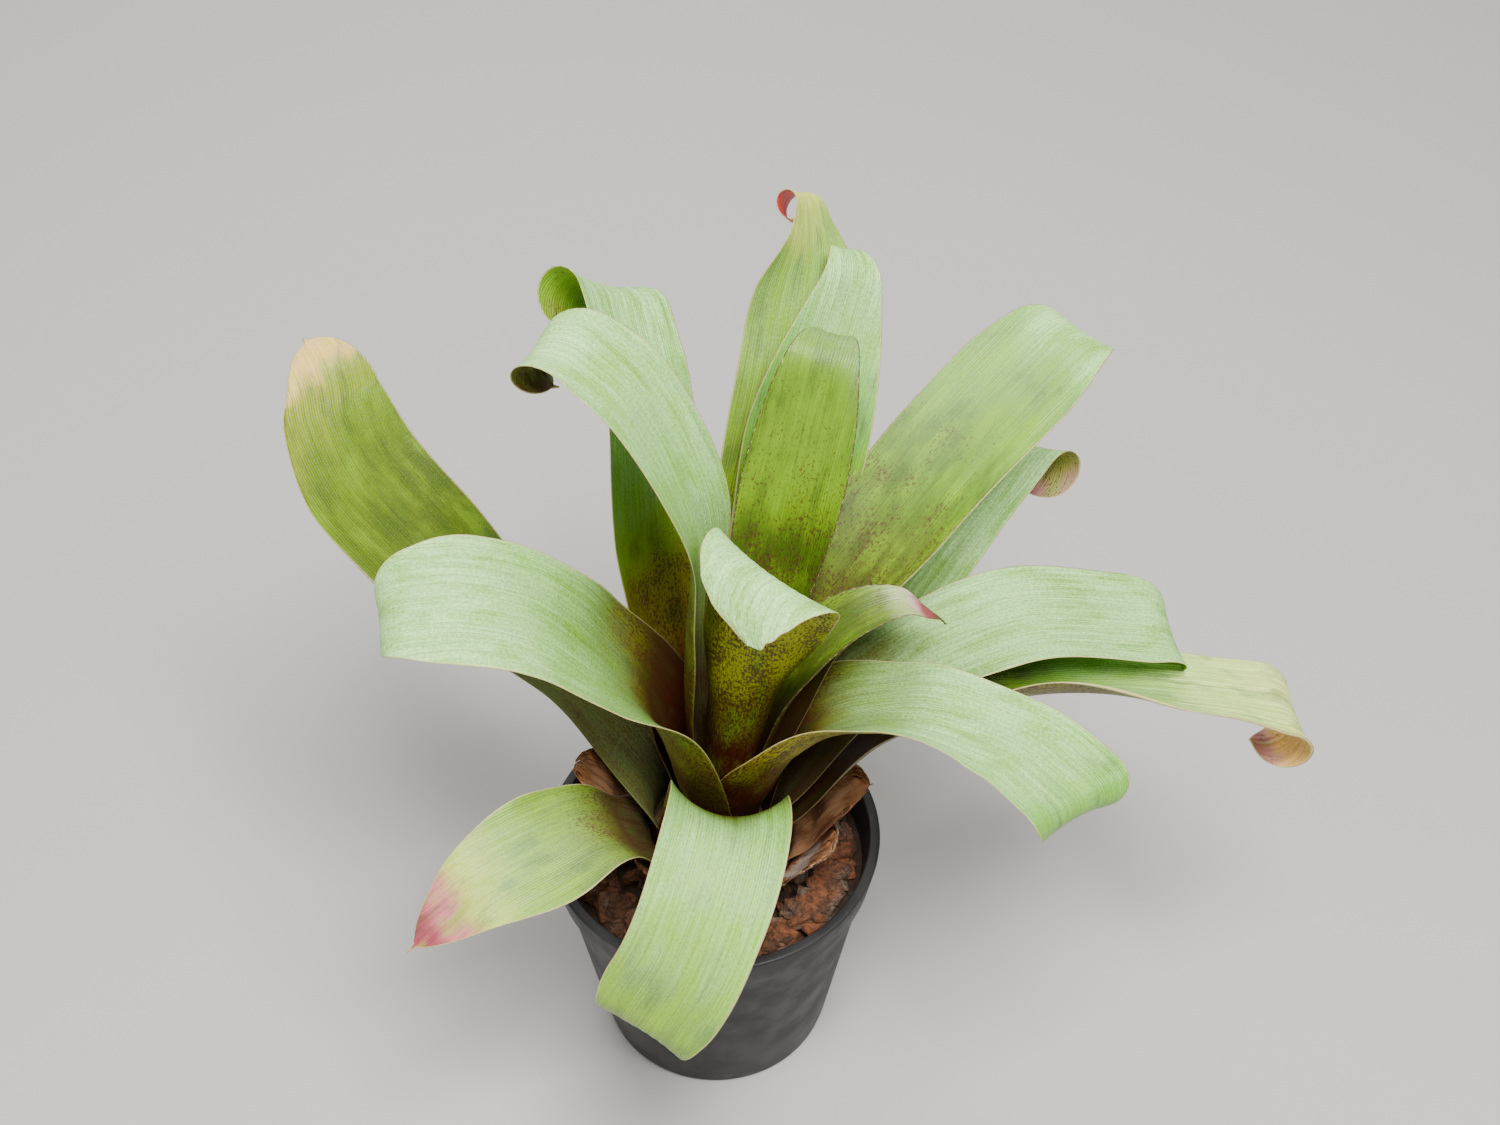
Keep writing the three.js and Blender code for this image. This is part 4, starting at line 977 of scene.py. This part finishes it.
def leaf_finish(leaf, seed):
    """Living leaf: green tissue with clouds and specks in it, finely veined, under a pale bloom of scales,
    which towards the ends also stands for painted highlight, and round it a thin cream margin that is
    dashed with purple on some leaves."""
    finish, tree, shader = new_finish(leaf["name"] + "_skin", Roughness=0.5)
    share, margin, face = read(tree, "share"), read(tree, "margin"), read(tree, "face")
    broad = noise(tree, leaf_flat(tree, 0.06, 0.03, seed), 1, 3)
    cloud = noise(tree, leaf_flat(tree, 0.16, 0.055, seed + 9), 1, 4, 0.6)
    vein = noise(tree, leaf_flat(tree, 1.5, 0.025, seed + 5), 1, 2)
    grain = noise(tree, leaf_flat(tree, 1.25, 1.05, seed + 7), 1, 3, 0.75)
    drift = times(tree, added(tree, broad, -0.5), 0.22)
    slant = times(tree, read(tree, "across"), 2 * leaf.get("slant", 0.0) / leaf["width"])
    reach = added(tree, added(tree, share, drift), slant)

    # Every ramp starts near-black at the throat: partly the leaf's own colour, partly painted shade.
    upper = ramp(tree, reach, leaf.get("upper", UPPER_USUAL))
    upper = blended(tree, between(tree, cloud, 0.5, 0.34, 0.0, 0.5), upper, DEEP_GREEN)
    patch = between(tree, cloud, 0.46, 0.68, 0.0, leaf.get("patches", PATCHES_USUAL))
    patch = times(tree, patch, between(tree, share, 0.3, 0.5))
    upper = blended(tree, patch, upper, LIME_PATCH)
    specks_here = ramp(tree, reach, leaf.get("upper_specks", UPPER_SPECKS_USUAL))
    upper = blended(tree, speckled(tree, specks_here, seed), upper, PURPLE_SPECK)
    uneven = between(tree, vein, 0.35, 0.65, -0.1, 0.1)
    uneven = added(tree, uneven, between(tree, grain, 0.36, 0.64, -0.2, 0.2))
    # Bloom of scales, which towards the leaf ends also stands for painted highlight.
    bloom_and_highlight = ramp(tree, reach, leaf.get("bloom_and_highlight", BLOOM_AND_HIGHLIGHT_USUAL))
    bloom_and_highlight = times(tree, bloom_and_highlight, added(tree, uneven, between(tree, cloud, 0.66, 0.42, 0.35, 0.8)))
    upper = blended(tree, bloom_and_highlight, upper, BLOOM_AND_HIGHLIGHT)

    under = ramp(tree, reach, leaf.get("under", UNDER_USUAL))
    under = blended(tree, between(tree, cloud, 0.5, 0.66, 0.0, 0.4), under, LIME)
    specks_here = ramp(tree, reach, leaf.get("under_specks", UNDER_SPECKS_USUAL))
    under = blended(tree, speckled(tree, specks_here, seed), under, MAROON_SPECK)
    under = blended(tree, between(tree, grain, 0.56, 0.72, 0.0, 0.07), under, BLOOM_AND_HIGHLIGHT)

    colour = blended(tree, between(tree, face, -0.05, 0.05), under, upper)
    rib = times(tree, read(tree, "across"), RIB_WAVE)
    rib = maths(tree, "SINE", added(tree, rib, times(tree, broad, 4.0)))
    tone = added(tree, between(tree, rib, -1, 1, -0.02, 0.02), between(tree, vein, 0.3, 0.7, -0.11, 0.11))
    tone = added(tree, tone, between(tree, grain, 0.3, 0.7, 0.92, 1.08))
    colour = wire(tree, "VectorMath", {0: colour, "Scale": tone}, operation="SCALE").outputs[0]

    dash = noise(tree, leaf_flat(tree, 0.0, 0.55, seed + 2), 1, 3, 0.7)
    dashed = leaf.get("dashes", DASHES_USUAL)
    dash = between(tree, dash, 0.5 - 0.1 * dashed, 0.56 - 0.1 * dashed, 0.0, dashed)
    edge_colour = blended(tree, dash, CREAM_MARGIN, PURPLE_DASH)
    edge = between(tree, margin, 0.55, 0.2, 0.0, 0.85)
    edge = times(tree, edge, between(tree, share, 0.2, 0.5, 0.1, 1.0))
    colour = blended(tree, edge, colour, edge_colour)
    tree.links.new(colour, shader.inputs["Base Color"])
    tree.links.new(between(tree, bloom_and_highlight, 0.0, 0.8, 0.4, 0.6), shader.inputs["Roughness"])
    relief = added(tree, times(tree, rib, 0.3), added(tree, vein, grain))
    raised(tree, shader, relief, LEAF_GRAIN_HEIGHT)
    return finish


def leaf_relief(leaf, u, facts, seed):
    """Low relief of a ribbon: a slow buckle of its margins, a slight sway, and fine ridges."""
    share, offset, run = facts["share"], facts["across"], facts["along"]
    bent_up = np.sign(np.sin(1.7 * seed) + u)
    buckle = BUCKLE * np.sin(run / BUCKLE_WAVE + 2.1 * seed) * np.abs(u) ** 2 * bent_up
    sway = SWAY * np.sin(run / SWAY_WAVE + seed) * np.cos(1.6 * u + seed)
    relief = eased(0.3, 0.55, share) * (buckle + sway)
    height, pitch, start = leaf.get("ridges", RIDGES_USUAL)
    ridges = np.cos(2 * np.pi * (offset + 0.6 * np.sin(run / 30.0)) / pitch)
    ridges = height * ridges * (1 - np.abs(u) ** 6)
    return relief + ridges * eased(start, start + 0.15, share) * (1 - eased(0.97, 1.0, share))


def leaf_thickness(u, share, mid, rim):
    """Thick along the middle, thin at the margins, and nothing at the very edge."""
    body = rim + (mid - rim) * (1 - u**2)
    body = body * (1 - TIP_THINNING * eased(0.6, 1.0, share))
    edge = np.ones_like(u)
    edge[:, [0, -1]] = 0
    edge[:, [1, -2]] = MARGIN_ROUNDING
    return body * edge


for number, leaf in enumerate(LEAVES, start=1):
    points, u, facts = leaf_grid(leaf, number)
    relief = leaf_relief(leaf, u, facts, number)
    thickness = leaf_thickness(u, facts["share"], BLADE_THICKNESS, MARGIN_THICKNESS)
    finish = leaf_finish(leaf, LEAF_SEED * number)
    blade = blade_piece(leaf["name"] + "_blade", points, relief, thickness, facts, finish)
    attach(blade, "root")
    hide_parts(leaf["name"])


# Dry sheaths: what is left of the oldest leaves, papery and brown, torn off short. They sit where
# they grew, in two rings outside the living sheaths, lowest on the stem.
DRY_USUAL = {
    "ring": 1, "neck": 1, "wrap": 30, "curl": [30, 20, 20], "channel": [[0, 40]], "silver_and_highlight": 0.15,
}
DRY_THICKNESS = 0.7
DRY_MARGIN = 0.35
DRY_TAN = (176, 118, 66)
DRY_BROWN = (112, 66, 36)
DRY_DARK = (58, 36, 24)
# Silvery grey of peeled skin, which on the right front sheath also stands for a painted highlight.
DRY_SILVER_AND_HIGHLIGHT = (176, 168, 158)
DRY_STREAK_HEIGHT = 0.0004
TEAR_DEPTH = 0.16
RIP_DEPTH = 0.6
RIP_LEVEL = 0.82
FIRST_TEAR_SEED = 40
DRY_SEED = 31.0

# ring counts outwards from the last living leaf, and silver is how much of the skin has peeled. On the
# right front sheath the silver is also a painted highlight.
DRY_SHEATHS = [
    {"name": "dry_sheath_left", "azimuth": 180, "width": 22, "spine": [[33, 18], [38, 26], [42, 30]]},
    {"name": "dry_sheath_left_front", "azimuth": 236, "width": 22, "spine": [[31, 14], [35, 20]]},
    {"name": "dry_sheath_front", "azimuth": -72, "width": 26, "spine": [[29, 12], [33, 18]]},
    {"name": "dry_sheath_back", "azimuth": 96, "width": 40, "spine": [[31, 12], [35, 19]]},
    {"name": "dry_sheath_right", "azimuth": -4, "width": 24, "spine": [[31, 18], [35, 27], [40, 35]]},
    {
        "name": "dry_sheath_right_front", "azimuth": -32, "width": 28, "spine": [[32, 14], [36, 22]],
        # Mostly silver: peeled skin and painted highlight.
        "ring": 2, "silver_and_highlight": 0.8,
    },
]


def dry_finish(name, seed, silver_and_highlight):
    """Dead sheath: tan to dark brown in streaks along it, with silvery skin where it has peeled. Where much
    of it is silver, as on the right front sheath, that is also painted highlight.
    """
    finish, tree, shader = new_finish(name + "_skin", Roughness=0.75)
    share = read(tree, "share")
    broad = noise(tree, leaf_flat(tree, 0.08, 0.05, seed), 1, 4, 0.6)
    streak = noise(tree, leaf_flat(tree, 1.0, 0.06, seed + 4), 1, 4, 0.6)
    spots = noise(tree, leaf_flat(tree, 1.2, 0.9, seed + 8), 1, 3, 0.7)
    colour = blended(tree, between(tree, broad, 0.38, 0.62), DRY_BROWN, DRY_TAN)
    colour = blended(tree, between(tree, streak, 0.5, 0.72, 0.0, 0.75), colour, DRY_DARK)
    colour = blended(tree, between(tree, spots, 0.6, 0.7, 0.0, 0.5), colour, DRY_DARK)
    colour = blended(tree, between(tree, share, 0.75, 1.0, 0.0, 0.55), colour, DRY_TAN)
    peeled_and_highlight = times(tree, between(tree, broad, 0.45, 0.6), silver_and_highlight)
    colour = blended(tree, peeled_and_highlight, colour, DRY_SILVER_AND_HIGHLIGHT)
    tree.links.new(colour, shader.inputs["Base Color"])
    raised(tree, shader, streak, DRY_STREAK_HEIGHT)
    return finish


def torn(points, seed):
    """Draws the columns of a sheath back by uneven amounts, so that its top is torn."""
    rows, columns = points.shape[:2]
    luck = np.random.default_rng(seed)
    tears = np.convolve(luck.random(columns + 4), [0.25, 0.5, 0.25], mode="same")[2:-2]
    tears = TEAR_DEPTH * (tears + RIP_DEPTH * (luck.random(columns) > RIP_LEVEL))
    level = np.arange(rows)
    out = points.copy()
    for j in range(columns):
        back = level * (1 - tears[j] * (level / (rows - 1)) ** 2)
        for k in range(3):
            out[:, j, k] = np.interp(back, level, points[:, j, k])
    return out


def dry_folds(facts, number):
    """Creases down a sheath from drying, which fade out towards its seat."""
    offset, run = facts["across"], facts["along"]
    fine = 0.22 * np.sin(1.9 * offset + 3.0 * number)
    slow = 0.25 * np.sin(0.7 * offset + run / 9.0 + number)
    return (fine + slow) * eased(0.25, 0.6, facts["share"])


for number, sheath in enumerate(DRY_SHEATHS, start=1):
    leaf = {**DRY_USUAL, "sheath": sheath["width"], **sheath}
    points, u, facts = leaf_grid(leaf, len(LEAVES) + leaf["ring"])
    points = torn(points, FIRST_TEAR_SEED + number)
    folds = dry_folds(facts, number)
    thickness = leaf_thickness(u, facts["share"], DRY_THICKNESS, DRY_MARGIN)
    finish = dry_finish(sheath["name"], DRY_SEED * number, leaf["silver_and_highlight"])
    piece = blade_piece(sheath["name"] + "_skin", points, folds, thickness, facts, finish)
    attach(piece, "root")
    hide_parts(sheath["name"])


# Floor and light: a plain pale bench and soft studio light, from three large panels and the sky.
# The main panel hangs high in front, a little to the right.
FLOOR_PALE = (196, 194, 190)
FLOOR_CLOUD = (180, 178, 174)
FLOOR_SIZE = 6
KEY_LIGHT = {"spot": (0.22, -0.45, 1.4), "size": 0.6, "power": 34}
FILL_LIGHT = {"spot": (-0.9, -0.6, 0.8), "size": 1.0, "power": 5}
BACK_LIGHT = {"spot": (-0.2, 1.0, 1.0), "size": 0.9, "power": 9}
SKY = 0.24

bpy.ops.mesh.primitive_plane_add(size=FLOOR_SIZE)
bench = bpy.context.object
bench.name = "bench"
finish, tree, shader = new_finish("bench_pale", Roughness=0.8)
cloudy = noise(tree, wire(tree, "TexCoord", {}).outputs["Object"], 3, 3)
cloudy = between(tree, cloudy, 0.3, 0.7, 0.0, 0.04)
tree.links.new(blended(tree, cloudy, FLOOR_PALE, FLOOR_CLOUD), shader.inputs["Base Color"])
bench.data.materials.append(finish)

for name, light in (("key", KEY_LIGHT), ("fill", FILL_LIGHT), ("back", BACK_LIGHT)):
    lamp = bpy.data.objects.new(name + "_light", bpy.data.lights.new(name + "_light", "AREA"))
    lamp.data.size = light["size"]
    lamp.data.energy = light["power"]
    lamp.location = light["spot"]
    aim = LOOK_AT - Vector(light["spot"])
    lamp.rotation_euler = aim.to_track_quat("-Z", "Y").to_euler()
    bpy.context.scene.collection.objects.link(lamp)

world = bpy.data.worlds.new("studio")
bpy.context.scene.world = world
world.use_nodes = True
world.node_tree.nodes["Background"].inputs["Color"].default_value = (1, 1, 1, 1)
world.node_tree.nodes["Background"].inputs["Strength"].default_value = SKY
